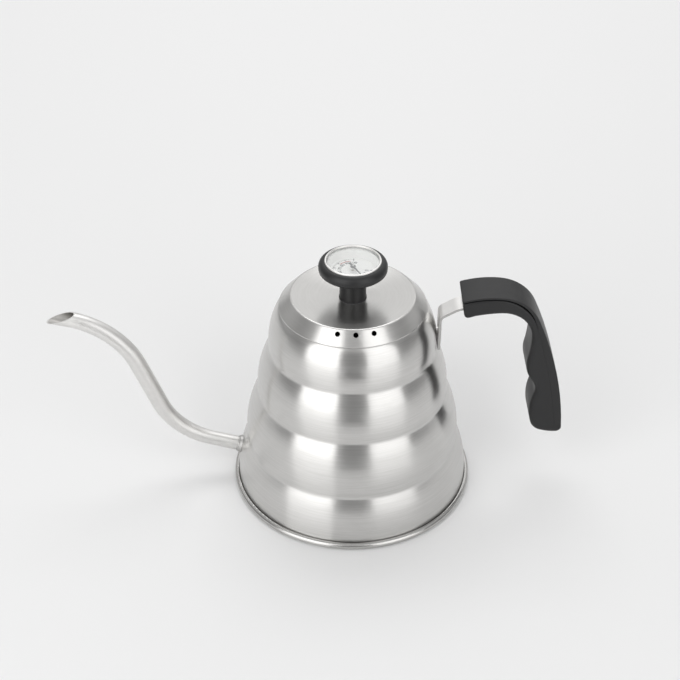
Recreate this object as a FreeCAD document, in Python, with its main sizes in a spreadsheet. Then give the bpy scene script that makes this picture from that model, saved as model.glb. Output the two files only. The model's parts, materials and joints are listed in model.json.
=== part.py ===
# Gooseneck drip kettle with a thermometer in the knob of its lid.
# Millimetres, +Z up, origin at the middle of the underside.
# The handle points along +X and the spout along -X; both lie in the plane y = 0.

import FreeCAD
import Part
import Sketcher
import os
import re
from math import tan

# Driving sizes, each written once
SIZES = {
    # Shell: foot, how far each tier steps in, its height, and how far its side bulges past a straight line
    "wall": 0.7,
    "foot_radius": 69.2,
    "tier1_step": 6.3,
    "tier2_step": 7.5,
    "tier3_step": 7.3,
    "tier4_step": 6.2,
    "tier1_height": 32.0,
    "tier2_height": 34.1,
    "tier3_height": 29.7,
    "tier4_height": 26.3,
    "tier1_bulge": 1.82,
    "tier2_bulge": 2.67,
    "tier3_bulge": 2.45,
    "tier4_bulge": 2.28,
    "ledge_width": 3.9,
    "neck_depth": 6.0,
    # Base: sheet, rolled bead at its edge, pressed groove
    "base_sheet": 0.8,
    "bead": 2.1,
    "groove_radius": 48.0,
    "groove_width": 5.0,
    "groove_depth": 0.6,
    # Spout: three straight runs that meet at two corners, rounded by bends
    "spout_root": 4.3,
    "spout_middle": 5.0,
    "spout_neck": 4.5,
    "spout_tip": 5.0,
    "spout_wall": 0.5,
    "spout_inset": 2.8,
    "spout_start_height": 18.4,
    "low_run": 41.8,
    "low_rise": 11.55,
    "low_bend": 44.0,
    "rising_run": 27.4,
    "rising_rise": 75.45,
    "high_bend": 51.0,
    "end_run": 43.8,
    "end_rise": 11.1,
    "lip_back": 4.6,
    "lip_drop": 5.6,
    "lip_angle": 17.5,
    "weld_width": 0.8,
    "weld_reach": 1.4,
    # Strap of the handle: flat bar, upright leg on the shell, then out into the grip
    "strap_width": 12.2,
    "strap_sheet": 1.5,
    "strap_gap": 0.55,
    "strap_lap": 0.6,
    "strap_leg": 21.8,
    "strap_turn_bend": 4.0,
    "knee_run": 9.9,
    "knee_rise": 5.9,
    "strap_knee_bend": 12.0,
    "strap_tilt": 11.45,
    "strap_short": 0.7,
    "rivet_radius": 1.6,
    "rivet_head": 3.1,
    "rivet_head_height": 1.0,
    "rivet_edge": 3.4,
    "rivet_pitch": 6.8,
    "rivet_play": 0.95,
    # Grip: steps along its outer line from the front to the elbow, then along the finger side to the heel
    "grip_width": 22.0,
    "grip_stand": 1.4,
    "grip_above": 8.2,
    "grip_below": 3.6,
    "grip_crown": 55.0,
    "shoulder_run": 22.5,
    "shoulder_rise": 2.5,
    "elbow_run": 20.5,
    "elbow_drop": 15.5,
    "grip_cover": 1.0,
    "heel_ledge": 4.0,
    "grip_round": 2.4,
    "cover_round": 0.8,
    "front_rake": 1.8,
    "underside_bend": 90.0,
    "palm_depth": 10.9,
    "nook_run": 18.2,
    "nook_drop": 16.8,
    "bump1_lean": 1.1,
    "bump1_drop": 14.5,
    "notch_run": 4.0,
    "notch_drop": 16.7,
    "bump2_run": 1.7,
    "bump2_drop": 9.5,
    "bump2_length": 21.5,
    "toe_run": 5.5,
    "toe_drop": 5.5,
    "sole_run": 9.0,
    "sole_drop": 1.3,
    "heel_run": 3.9,
    "heel_rise": 4.3,
    "heel_round": 1.3,
    "channel_play": 0.2,
    # Screws of the grip
    "screw_radius": 1.5,
    "screw_head": 2.6,
    "screw_head_height": 1.1,
    "screw_seat": 1.3,
    "screw_inset": 8.3,
    "screw_pitch": 10.5,
    "screw_bite": 4.0,
    "screw_play": 0.1,
    # Lid
    "lid_sheet": 0.7,
    "skirt_sheet": 0.6,
    "skirt_play": 0.5,
    "skirt_depth": 8.0,
    "skirt_recess": 0.7,
    "lid_slope": 6.7,
    "lid_rise": 7.5,
    "lid_dish": 2.3,
    "lid_pad": 10.0,
    "lid_edge_round": 1.5,
    "vent_radius": 1.45,
    "vent_spread": 15.4,
    "vent_along": 0.7,
    "lid_turn": 2.1,
    # Knob with its stud, seal, washer and nut
    "seal_height": 0.6,
    "knob_stem": 7.5,
    "rim_wall": 3.6,
    "knob_height": 23.2,
    "knob_rim": 17.3,
    "knob_flare": 11.9,
    "mouth_wall": 0.9,
    "stud_radius": 4.0,
    "stud_bore": 2.6,
    "stud_rise": 9.0,
    "washer_radius": 8.0,
    "washer_sheet": 0.8,
    "nut_across": 13.0,
    "nut_height": 5.0,
    "thread_play": 0.1,
    # Thermometer
    "case_radius": 15.6,
    "case_play": 0.1,
    "case_sheet": 0.3,
    "case_floor": 0.6,
    "bezel_height": 0.8,
    "bezel_lap": 0.2,
    "bezel_lip": 0.8,
    "lens_height": 1.2,
    "gasket_height": 0.4,
    "ring_sheet": 0.9,
    "ring_foot": 2.6,
    "dial_sheet": 0.5,
    "dial_depth": 6.0,
    "probe_radius": 2.25,
    "probe_wall": 0.35,
    "probe_length": 96.2,
    "plug_height": 4.0,
    "bush_length": 4.0,
    "spindle_radius": 0.5,
    "spindle_play": 0.06,
    "pointer_height": 2.2,
    "pointer_sheet": 0.4,
    "pointer_hub": 1.5,
    "pointer_reach": 10.0,
    "pointer_tail": 4.0,
    "pointer_width": 1.1,
    "pointer_angle": 298.0,
    "coil_radius": 1.3,
    "coil_wire": 0.2,
    "coil_pitch": 1.6,
    "coil_length": 32.0,
}

# Places that follow from the sizes
PLACES = {
    "crease1_radius": "foot_radius - tier1_step",
    "crease2_radius": "crease1_radius - tier2_step",
    "crease3_radius": "crease2_radius - tier3_step",
    "mouth_radius": "crease3_radius - tier4_step",
    "neck_radius": "mouth_radius - ledge_width",
    "plate_radius": "mouth_radius - lid_slope",
    "bead_top": "2 * bead",
    "crease1": "tier1_height",
    "crease2": "crease1 + tier2_height",
    "crease3": "crease2 + tier3_height",
    "mouth": "crease3 + tier4_height",
    "root_share": "(spout_start_height - bead_top) / (crease1 - bead_top)",
    "spout_side": "foot_radius - tier1_step * root_share + tier1_bulge",
    "spout_start": "spout_side - spout_inset",
    "low_corner_reach": "spout_start + low_run",
    "low_corner_height": "spout_start_height + low_rise",
    "high_corner_reach": "low_corner_reach + rising_run",
    "high_corner_height": "low_corner_height + rising_rise",
    "spout_end_reach": "high_corner_reach + end_run",
    "spout_end_height": "high_corner_height + end_rise",
    "lip_reach": "spout_end_reach - lip_back",
    "lip_height": "spout_end_height - lip_drop",
    "strap_middle": "crease3_radius + strap_gap + strap_sheet / 2",
    "strap_foot": "crease3 - strap_lap",
    "strap_turn": "strap_foot + strap_leg",
    "strap_knee_reach": "strap_middle + knee_run",
    "strap_knee_height": "strap_turn + knee_rise",
    "strap_slope": "tan(strap_tilt)",
    "strap_end_reach": "grip_shoulder_reach - strap_short",
    "strap_end_height": "strap_knee_height + strap_slope * (strap_end_reach - strap_knee_reach)",
    "rivet_low": "strap_foot + rivet_edge",
    "grip_front": "strap_knee_reach + grip_stand",
    "grip_front_middle": "strap_knee_height + strap_slope * grip_stand",
    "grip_front_top": "grip_front_middle + grip_above",
    "grip_front_low": "grip_front_middle - grip_below",
    "grip_shoulder_reach": "grip_front + shoulder_run",
    "grip_shoulder_height": "grip_front_top + shoulder_rise",
    "grip_elbow_reach": "grip_shoulder_reach + elbow_run",
    "grip_elbow_height": "grip_shoulder_height - elbow_drop",
    "palm_reach": "grip_shoulder_reach",
    "palm_height": "grip_shoulder_height - palm_depth",
    "nook_reach": "palm_reach + nook_run",
    "nook_height": "palm_height - nook_drop",
    "bump1_start_reach": "nook_reach - bump1_lean",
    "bump1_start_height": "nook_height - bump1_drop",
    "bump1_end_reach": "bump1_start_reach + notch_run",
    "bump1_end_height": "bump1_start_height - notch_drop",
    "bump2_start_reach": "bump1_end_reach + bump2_run",
    "bump2_start_height": "bump1_end_height - bump2_drop",
    "bump2_end_reach": "bump2_start_reach",
    "bump2_end_height": "bump2_start_height - bump2_length",
    "toe_reach": "bump2_end_reach + toe_run",
    "toe_height": "bump2_end_height - toe_drop",
    "sole_reach": "toe_reach + sole_run",
    "sole_height": "toe_height - sole_drop",
    "grip_heel_reach": "sole_reach + heel_run",
    "grip_heel_height": "sole_height + heel_rise",
    "screw_first": "grip_front + screw_inset",
    "knob_radius": "case_radius + rim_wall",
    "knob_mouth": "case_radius + mouth_wall",
    "window_radius": "case_radius - bezel_lip",
}

doc = FreeCAD.newDocument("kettle")
sheet = doc.addObject("Spreadsheet::Sheet", "Sizes")
for row, (alias, number) in enumerate(SIZES.items(), start=1):
    sheet.set(f"A{row}", alias)
    sheet.set(f"B{row}", str(number))
    sheet.setAlias(f"B{row}", alias)
doc.recompute()

# Pieces to write, by file name
pieces = {}


def spelled(word):
    """A place written out, a size read from the sheet, and any other word as it is."""
    name = word[0]
    if name in PLACES:
        return f"({bound(PLACES[name])})"
    return f"Sizes.{name}" if name in SIZES else name


def bound(expression):
    """The expression with each place and size tied to the sheet."""
    return re.sub(r"[a-z][a-z_0-9]*", spelled, str(expression))


def value(expression):
    """The number an expression has now."""
    return float(sheet.evalExpression(bound(expression)))


def new_body(label):
    body = doc.addObject("PartDesign::Body", label)
    body.Label = label
    return body


def sketch_on(body, role, name):
    plane = next(item for item in body.Origin.OriginFeatures if item.Role == role)
    sketch = body.newObject("Sketcher::SketchObject", name)
    sketch.AttachmentSupport = [(plane, "")]
    sketch.MapMode = "FlatFace"
    return sketch


def hold(sketch, kind, expression, *place):
    """One driven size of a sketch, bound to the sheet."""
    index = sketch.addConstraint(Sketcher.Constraint(kind, *place, value(expression)))
    sketch.setExpression(f"Constraints[{index}]", bound(expression))


def pin(sketch, edge, end, x, y):
    """Hold one end of an edge at a position given by two expressions."""
    for kind, expression, axis in (("DistanceX", x, -2), ("DistanceY", y, -1)):
        if str(expression) == "0":
            sketch.addConstraint(Sketcher.Constraint("PointOnObject", edge, end, axis))
        else:
            hold(sketch, kind, expression, -1, 1, edge, end)


def arc_between(start, end, radius, turn):
    """Arc of less than half a circle from start to end, turning left (1) or right (-1)."""
    chord = end - start
    across = FreeCAD.Vector(-chord.y, chord.x, 0).normalize()
    inset = max(radius ** 2 - (chord.Length / 2) ** 2, 0) ** 0.5
    centre = (start + end) / 2 + across * (turn * inset)
    circle = Part.Circle(centre, FreeCAD.Vector(0, 0, 1), radius)
    first, last = (start, end) if turn > 0 else (end, start)
    return Part.ArcOfCircle(circle, circle.parameter(first), circle.parameter(last))


def chain(sketch, corners, closed=False, pinned=True):
    """Run of edges through corners; gives the places of its first and last point.

    A corner is (x, y) where a straight edge leads on, (x, y, radius, turn) where an arc does, turning left (1)
    or right (-1), and (x, y, "smooth") where an arc leads on without a kink from the edge before it.
    """
    points = [FreeCAD.Vector(value(corner[0]), value(corner[1]), 0) for corner in corners]
    last = len(corners) if closed else len(corners) - 1
    ends = []
    heading = None
    for index in range(last):
        corner = corners[index]
        start = points[index]
        end = points[(index + 1) % len(points)]
        chord = end - start
        if len(corner) == 2:
            edge = sketch.addGeometry(Part.LineSegment(start, end))
            ends.append((edge, 1, 2))
            heading = FreeCAD.Vector(chord).normalize()
            continue
        if corner[2] == "smooth":
            side = heading.x * chord.y - heading.y * chord.x
            turn = 1 if side > 0 else -1
            radius = chord.Length ** 2 / (2 * abs(side))
        else:
            turn = corner[3]
            radius = value(corner[2])
        arc = arc_between(start, end, radius, turn)
        edge = sketch.addGeometry(arc)
        ends.append((edge, 1, 2) if turn > 0 else (edge, 2, 1))
        out = end - arc.Center
        heading = FreeCAD.Vector(-out.y, out.x, 0).normalize() * turn
    for index in range(last):
        corner = corners[index]
        edge, head, tail = ends[index]
        if closed or index + 1 < last:
            after, after_head, after_tail = ends[(index + 1) % last]
            follows = corners[(index + 1) % len(corners)]
            kind = "Tangent" if len(follows) == 3 else "Coincident"
            sketch.addConstraint(Sketcher.Constraint(kind, edge, tail, after, after_head))
        if pinned or index > 0:
            pin(sketch, edge, head, corner[0], corner[1])
        if len(corner) == 4:
            hold(sketch, "Radius", corner[2], edge)
    if pinned and not closed:
        pin(sketch, ends[-1][0], ends[-1][2], corners[-1][0], corners[-1][1])
    return (ends[0][0], ends[0][1]), (ends[-1][0], ends[-1][2])


def weld_ends(sketch, first, second):
    sketch.addConstraint(Sketcher.Constraint("Coincident", *first, *second))


def close_with_line(sketch, first, second):
    """A straight edge between two places that are held already."""
    start = sketch.getPoint(*first)
    end = sketch.getPoint(*second)
    edge = sketch.addGeometry(Part.LineSegment(start, end))
    weld_ends(sketch, first, (edge, 1))
    weld_ends(sketch, second, (edge, 2))


def turned(label, corners):
    """A piece turned about the z axis from a closed outline of (radius, height) corners."""
    body = new_body(label)
    sketch = sketch_on(body, "XZ_Plane", f"{label}_outline")
    chain(sketch, corners, closed=True)
    turn = body.newObject("PartDesign::Revolution", f"{label}_turn")
    turn.Profile = sketch
    turn.ReferenceAxis = (sketch, ["V_Axis"])
    turn.Angle = 360
    body.Tip = turn
    doc.recompute()
    return body


def extrude(body, name, kind, sketch, width):
    """Pad or pocket of a sketch, the same width on both sides of its plane."""
    feature = body.newObject(f"PartDesign::{kind}", name)
    feature.Profile = sketch
    feature.SideType = "Symmetric"
    feature.setExpression("Length", bound(width))
    body.Tip = feature
    doc.recompute()
    return feature


def put(piece, x, y, z, axis=(0, 0, 1), angle="0"):
    """Place a piece or a tool at a point given by expressions, turned about an axis."""
    piece.Placement = FreeCAD.Placement(
        FreeCAD.Vector(value(x), value(y), value(z)),
        FreeCAD.Rotation(FreeCAD.Vector(*axis), value(angle)),
    )
    for part_name, expression in (("x", x), ("y", y), ("z", z)):
        piece.setExpression(f"Placement.Base.{part_name}", bound(expression))
    if angle != "0":
        piece.setExpression("Placement.Rotation.Angle", bound(angle))


def drill(body, name, radius, length, x, y, z, axis=(0, 0, 1), angle="0"):
    """A round hole from a point; it runs along z turned about an axis by an angle."""
    hole = body.newObject("PartDesign::SubtractiveCylinder", name)
    hole.setExpression("Radius", bound(radius))
    hole.setExpression("Height", bound(length))
    put(hole, x, y, z, axis, angle)
    body.Tip = hole
    doc.recompute()
    return hole


def group(label, members):
    """Equal pieces written as one file."""
    together = doc.addObject("Part::Compound", label)
    together.Label = label
    together.Links = members
    doc.recompute()
    return together


def bent_path(body, name, corners, bends):
    """Open path of straight runs through corners, with a round bend at each corner between two runs."""
    sketch = sketch_on(body, "XZ_Plane", name)
    points = [FreeCAD.Vector(value(x), value(y), 0) for x, y in corners]
    stops = [points[0]]
    for index, bend in enumerate(bends, start=1):
        back = (points[index - 1] - points[index]).normalize()
        ahead = (points[index + 1] - points[index]).normalize()
        reach = value(bend) / tan(back.getAngle(ahead) / 2)
        stops.append(points[index] + back * reach)
        stops.append(points[index] + ahead * reach)
    stops.append(points[-1])
    ends = []
    for index in range(len(stops) - 1):
        start = stops[index]
        end = stops[index + 1]
        if index % 2 == 0:
            edge = sketch.addGeometry(Part.LineSegment(start, end))
            ends.append((edge, 1, 2))
            continue
        corner = points[(index + 1) // 2]
        side = (corner.x - start.x) * (end.y - corner.y) - (corner.y - start.y) * (end.x - corner.x)
        turn = 1 if side > 0 else -1
        bend = bends[index // 2]
        edge = sketch.addGeometry(arc_between(start, end, value(bend), turn))
        ends.append((edge, 1, 2) if turn > 0 else (edge, 2, 1))
    for before, after in zip(ends, ends[1:]):
        sketch.addConstraint(Sketcher.Constraint("Tangent", before[0], before[2], after[0], after[1]))
    pin(sketch, ends[0][0], ends[0][1], *corners[0])
    pin(sketch, ends[-1][0], ends[-1][2], *corners[-1])
    for index, bend in enumerate(bends, start=1):
        mark = sketch.addGeometry(Part.Point(points[index]), True)
        pin(sketch, mark, 1, *corners[index])
        for run in (2 * index - 2, 2 * index):
            sketch.addConstraint(Sketcher.Constraint("PointOnObject", mark, 1, ends[run][0]))
        hold(sketch, "Radius", bend, ends[2 * index - 1][0])
    doc.recompute()
    return sketch


def arc_radius(run, rise, bulge):
    """Radius of an arc whose chord has this run and rise and which bulges this far."""
    return f"((({run}) * ({run}) + ({rise}) * ({rise})) / (8 * {bulge}) + {bulge} / 2)"


# Shell: four bulged tiers, mouth turned in to a flat ledge and a short neck
bulge1 = arc_radius("tier1_step", "tier1_height - bead_top", "tier1_bulge")
bulge2 = arc_radius("tier2_step", "tier2_height", "tier2_bulge")
bulge3 = arc_radius("tier3_step", "tier3_height", "tier3_bulge")
bulge4 = arc_radius("tier4_step", "tier4_height", "tier4_bulge")
outside = [
    ("foot_radius", "base_sheet"),
    ("foot_radius", "bead_top", bulge1, 1),
    ("crease1_radius", "crease1", bulge2, 1),
    ("crease2_radius", "crease2", bulge3, 1),
    ("crease3_radius", "crease3", bulge4, 1),
    ("mouth_radius", "mouth"),
]
body_shell = turned("body_shell", outside + [
    ("neck_radius", "mouth"),
    ("neck_radius", "mouth - neck_depth"),
    ("neck_radius + wall", "mouth - neck_depth"),
    ("neck_radius + wall", "mouth - wall"),
    ("mouth_radius - 0.4 * wall", "mouth - wall", bulge4, -1),
    ("crease3_radius - wall", "crease3", bulge3, -1),
    ("crease2_radius - wall", "crease2", bulge2, -1),
    ("crease1_radius - wall", "crease1", bulge1, -1),
    ("foot_radius - wall", "bead_top"),
    ("foot_radius - wall", "base_sheet"),
])
pieces["body_shell"] = body_shell

# The shell as a full block, a tool to trim the weld bead with
shell_block = turned("shell_block", outside + [("0", "mouth"), ("0", "base_sheet")])

# Base plate: flat sheet with a pressed groove, its edge rolled up round the foot of the shell
roll = "(foot_radius + 0.35 * bead)"
roll_lip = f"(bead + sqrt(bead^2 - ({roll} - foot_radius)^2))"
hollow = "(bead - base_sheet)"
groove_in = "(groove_radius - groove_width / 2)"
groove_out = "(groove_radius + groove_width / 2)"
pieces["base_plate"] = turned("base_plate", [
    ("0", "0"),
    (groove_in, "0"),
    (groove_in, "groove_depth"),
    (groove_out, "groove_depth"),
    (groove_out, "0"),
    (roll, "0", "bead", 1),
    (f"{roll} + bead", "bead", "bead", 1),
    (roll, "bead_top", "bead", 1),
    ("foot_radius", roll_lip),
    ("foot_radius", f"{roll_lip} - base_sheet"),
    (roll, "bead_top - base_sheet", hollow, -1),
    (f"{roll} + {hollow}", "bead", hollow, -1),
    (roll, "base_sheet"),
    (f"{groove_out} + base_sheet", "base_sheet"),
    (f"{groove_out} + base_sheet", "base_sheet + groove_depth"),
    (f"{groove_in} - base_sheet", "base_sheet + groove_depth"),
    (f"{groove_in} - base_sheet", "base_sheet"),
    ("0", "base_sheet"),
])

# Spout: bent tube, a little thicker in its rising run, cut at a slant at the tip
spout_tube = new_body("spout_tube")
path = bent_path(
    spout_tube,
    "spout_path",
    [
        ("-spout_start", "spout_start_height"),
        ("-low_corner_reach", "low_corner_height"),
        ("-high_corner_reach", "high_corner_height"),
        ("-spout_end_reach", "spout_end_height"),
    ],
    ["low_bend", "high_bend"],
)


def spout_section(name, edge, along, radius):
    """A circle square to the path of the spout."""
    sketch = spout_tube.newObject("Sketcher::SketchObject", name)
    sketch.AttachmentSupport = [(path, edge)]
    sketch.MapMode = "NormalToEdge"
    sketch.MapPathParameter = along
    circle = Part.Circle(FreeCAD.Vector(0, 0, 0), FreeCAD.Vector(0, 0, 1), value(radius))
    sketch.addGeometry(circle)
    sketch.addConstraint(Sketcher.Constraint("Coincident", 0, 3, -1, 1))
    hold(sketch, "Radius", radius, 0)
    return sketch


def spout_pipe(kind, name, inset):
    """The tube or its bore: one circle at each end of the runs."""
    places = [
        ("Edge1", 0.0, "spout_root"),
        ("Edge1", 1.0, "spout_root"),
        ("Edge3", 0.0, "spout_middle"),
        ("Edge3", 1.0, "spout_middle"),
        ("Edge5", 0.0, "spout_neck"),
        ("Edge5", 1.0, "spout_tip"),
    ]
    sections = [
        spout_section(f"{name}_{index}", edge, along, f"{radius} - {inset}")
        for index, (edge, along, radius) in enumerate(places)
    ]
    doc.recompute()
    pipe = spout_tube.newObject(f"PartDesign::{kind}", name)
    pipe.Profile = sections[0]
    pipe.Spine = (path, [f"Edge{number}" for number in range(1, 6)])
    pipe.Transformation = "Multisection"
    pipe.Sections = sections[1:]
    spout_tube.Tip = pipe
    doc.recompute()


spout_pipe("AdditivePipe", "spout_outside", "0")
spout_pipe("SubtractivePipe", "spout_bore", "spout_wall")
tip_cut = sketch_on(spout_tube, "XZ_Plane", "spout_tip_outline")
chain(tip_cut, [
    ("-lip_reach - 15 * cos(lip_angle)", "lip_height - 15 * sin(lip_angle)"),
    ("-lip_reach + 40 * cos(lip_angle)", "lip_height + 40 * sin(lip_angle)"),
    ("-lip_reach + 40 * cos(lip_angle) - 30 * sin(lip_angle)",
     "lip_height + 40 * sin(lip_angle) + 30 * cos(lip_angle)"),
    ("-lip_reach - 15 * cos(lip_angle) - 30 * sin(lip_angle)",
     "lip_height - 15 * sin(lip_angle) + 30 * cos(lip_angle)"),
], closed=True)
extrude(spout_tube, "spout_tip_cut", "Pocket", tip_cut, "6 * spout_middle")
pieces["spout_tube"] = spout_tube

# Hole in the shell for the root of the spout
root_tilt = (
    "atan((low_corner_reach - spout_start)"
    " / (low_corner_height - spout_start_height))"
)
drill(body_shell, "spout_hole", "spout_root + 0.05", "20",
      "-spout_start + 8", "0", f"spout_start_height - 8 / tan({root_tilt})", (0, -1, 0), root_tilt)

# Weld bead round the root of the spout, trimmed to the face of the shell
weld_blank = turned("weld_blank", [
    ("spout_root + 0.02", "0"),
    ("spout_root + weld_width + 1.2", "0"),
    ("spout_root + weld_width", "spout_inset + weld_reach", "2 * weld_width", -1),
    ("spout_root + 0.02", "spout_inset + weld_reach + 1.8 * weld_width"),
])
put(weld_blank, "-spout_start", "0", "spout_start_height", (0, -1, 0), root_tilt)
spout_weld = doc.addObject("Part::Cut", "spout_weld")
spout_weld.Base = weld_blank
spout_weld.Tool = shell_block
doc.recompute()
pieces["spout_weld"] = spout_weld

# Handle strap: flat bar swept up the shell, outward, and into the grip
handle_strap = new_body("handle_strap")
strap_path = bent_path(
    handle_strap,
    "strap_path",
    [
        ("strap_middle", "strap_foot"),
        ("strap_middle", "strap_turn"),
        ("strap_knee_reach", "strap_knee_height"),
        ("strap_end_reach", "strap_end_height"),
    ],
    ["strap_turn_bend", "strap_knee_bend"],
)
strap_section = sketch_on(handle_strap, "XY_Plane", "strap_section")
strap_section.setExpression("AttachmentOffset.Base.z", bound("strap_foot"))
chain(strap_section, [
    ("strap_middle - strap_sheet / 2", "-strap_width / 2"),
    ("strap_middle + strap_sheet / 2", "-strap_width / 2"),
    ("strap_middle + strap_sheet / 2", "strap_width / 2"),
    ("strap_middle - strap_sheet / 2", "strap_width / 2"),
], closed=True)
strap_sweep = handle_strap.newObject("PartDesign::AdditivePipe", "strap_sweep")
strap_sweep.Profile = strap_section
strap_sweep.Spine = (strap_path, [f"Edge{number}" for number in range(1, 6)])
handle_strap.Tip = strap_sweep
doc.recompute()
pieces["handle_strap"] = handle_strap

# Rivets through strap and shell, a domed head outside and another inside
rivet_stack = "(strap_sheet + strap_gap + wall + rivet_play)"
rivet_dome = "((rivet_head^2 + rivet_head_height^2) / (2 * rivet_head_height))"
rivets = []
for number in range(2):
    height = f"rivet_low + {number} * rivet_pitch"
    drill(body_shell, f"rivet_hole_{number}", "rivet_radius + 0.05", "30",
          "crease3_radius - 15", "0", height, (0, 1, 0), "90")
    drill(handle_strap, f"strap_hole_{number}", "rivet_radius + 0.05", "10",
          "strap_middle - 5", "0", height, (0, 1, 0), "90")
    rivet = turned(f"strap_rivet_{number}", [
        ("0", f"-{rivet_stack} - rivet_head_height", rivet_dome, 1),
        ("rivet_head", f"-{rivet_stack}"),
        ("rivet_radius", f"-{rivet_stack}"),
        ("rivet_radius", "0"),
        ("rivet_head", "0", rivet_dome, 1),
        ("0", "rivet_head_height"),
    ])
    put(rivet, "strap_middle + strap_sheet / 2", "0", height, (0, 1, 0), "90")
    rivets.append(rivet)
pieces["strap_rivets"] = group("strap_rivets", rivets)

# Lines of the strap inside the grip
strap_half = "(strap_sheet / 2 * sqrt(1 + strap_slope^2))"


def strap_line(reach):
    """Height of the middle of the strap at this distance from the axis."""
    return f"(strap_knee_height + strap_slope * ({reach} - strap_knee_reach))"


# Outer line of the grip, and the parting line of its two mouldings under it
outer_line = [
    ("grip_front", "grip_front_top", "grip_crown", -1),
    ("grip_shoulder_reach", "grip_shoulder_height", "smooth"),
    ("grip_elbow_reach", "grip_elbow_height", "smooth"),
    ("grip_heel_reach", "grip_heel_height"),
]
parting_line = [
    ("grip_front", "grip_front_top - grip_cover", "grip_crown", -1),
    ("grip_shoulder_reach", "grip_shoulder_height - grip_cover", "smooth"),
    ("grip_elbow_reach - grip_cover", "grip_elbow_height - grip_cover", "smooth"),
    ("grip_heel_reach - heel_ledge", "grip_heel_height"),
]


def side_edges(feature, keep):
    """Names of the edges in the two side faces of a grip moulding that a test on their middle keeps."""
    half = value("grip_width / 2")
    names = []
    for number, edge in enumerate(feature.Shape.Edges, start=1):
        middle = edge.valueAt((edge.FirstParameter + edge.LastParameter) / 2)
        flat = all(abs(abs(corner.Y) - half) < 0.01 for corner in edge.Vertexes)
        if flat and edge.Vertexes[0].Y * edge.Vertexes[-1].Y > 0 and keep(middle):
            names.append(f"Edge{number}")
    return names


def cross_edge(feature, x, z):
    """Name of the edge that runs across a grip moulding at this place."""
    place = FreeCAD.Vector(value(x), 0, value(z))
    return [
        f"Edge{number}"
        for number, edge in enumerate(feature.Shape.Edges, start=1)
        if edge.CenterOfMass.distanceToPoint(place) < 0.01
    ]


def near_line(corners):
    """A test for points that lie on a line of the grip."""
    scratch = doc.addObject("Sketcher::SketchObject", "scratch")
    chain(scratch, corners)
    doc.recompute()
    line = scratch.Shape.copy()
    doc.removeObject(scratch.Name)
    return lambda point: line.distToShape(Part.Vertex(point.x, point.z, 0))[0] < 0.01


def round_edges(body, name, base, names, radius):
    fillet = body.newObject("PartDesign::Fillet", name)
    fillet.Base = (base, names)
    fillet.setExpression("Radius", bound(radius))
    body.Tip = fillet
    doc.recompute()
    return fillet


# Inner moulding of the grip: finger bumps, a channel for the strap, ledge at the heel for the cover
grip_inner = new_body("grip_inner")
grip_side = sketch_on(grip_inner, "XZ_Plane", "grip_inner_side")
finger_line = [
    ("grip_front", "grip_front_top - grip_cover"),
    ("grip_front + front_rake", "grip_front_low", "underside_bend", -1),
    ("palm_reach", "palm_height", "smooth"),
    ("nook_reach", "nook_height", "smooth"),
    ("bump1_start_reach", "bump1_start_height", "smooth"),
    ("bump1_end_reach", "bump1_end_height", "smooth"),
    ("bump2_start_reach", "bump2_start_height", "smooth"),
    ("bump2_end_reach", "bump2_end_height", "smooth"),
    ("toe_reach", "toe_height", "smooth"),
    ("sole_reach", "sole_height", "smooth"),
    ("grip_heel_reach", "grip_heel_height - heel_round"),
    ("grip_heel_reach", "grip_heel_height"),
    ("grip_heel_reach - heel_ledge", "grip_heel_height"),
]
first, last = chain(grip_side, finger_line)
part_first, part_last = chain(grip_side, parting_line, pinned=False)
weld_ends(grip_side, first, part_first)
weld_ends(grip_side, last, part_last)
inner_pad = extrude(grip_inner, "grip_inner_block", "Pad", grip_side, "grip_width")
on_finger_side = near_line(finger_line[:12])
inner_edges = side_edges(inner_pad, on_finger_side)
inner_edges += cross_edge(inner_pad, "grip_front + front_rake", "grip_front_low")
round_edges(grip_inner, "grip_inner_rounds", inner_pad, inner_edges, "grip_round")
channel = sketch_on(grip_inner, "XZ_Plane", "channel_side")
channel_end = "grip_shoulder_reach + channel_play"
chain(channel, [
    ("grip_front - 2", f"{strap_line('grip_front - 2')} - {strap_half}"),
    (channel_end, f"{strap_line(channel_end)} - {strap_half}"),
    (channel_end, "grip_front_top + 12"),
    ("grip_front - 2", "grip_front_top + 12"),
], closed=True)
extrude(grip_inner, "channel", "Pocket", channel, "strap_width + 2 * channel_play")
pieces["grip_inner"] = grip_inner

# Cover of the grip, with a rib that fills the channel above the strap
grip_cover = new_body("grip_cover")
cover_side = sketch_on(grip_cover, "XZ_Plane", "grip_cover_side")
first, last = chain(cover_side, outer_line)
part_first, part_last = chain(cover_side, parting_line)
close_with_line(cover_side, first, part_first)
close_with_line(cover_side, last, part_last)
cover_pad = extrude(grip_cover, "grip_cover_block", "Pad", cover_side, "grip_width")
on_front = near_line([("grip_front", "grip_front_top - grip_cover"), ("grip_front", "grip_front_top")])
cover_front = round_edges(grip_cover, "grip_cover_front", cover_pad, side_edges(cover_pad, on_front), "grip_round")
on_outer_line = near_line(outer_line)
cover_edges = side_edges(cover_front, on_outer_line)
round_edges(grip_cover, "grip_cover_rounds", cover_front, cover_edges, "cover_round")
rib = sketch_on(grip_cover, "XZ_Plane", "rib_side")
rib_low = f"{strap_half} + channel_play"
chain(rib, [
    ("grip_front", f"{strap_line('grip_front')} + {rib_low}"),
    ("grip_shoulder_reach", f"{strap_line('grip_shoulder_reach')} + {rib_low}"),
    ("grip_shoulder_reach", "grip_shoulder_height - grip_cover / 2", "grip_crown", 1),
    ("grip_front", "grip_front_top - grip_cover / 2"),
], closed=True)
extrude(grip_cover, "rib", "Pad", rib, "strap_width")
pieces["grip_cover"] = grip_cover

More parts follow.
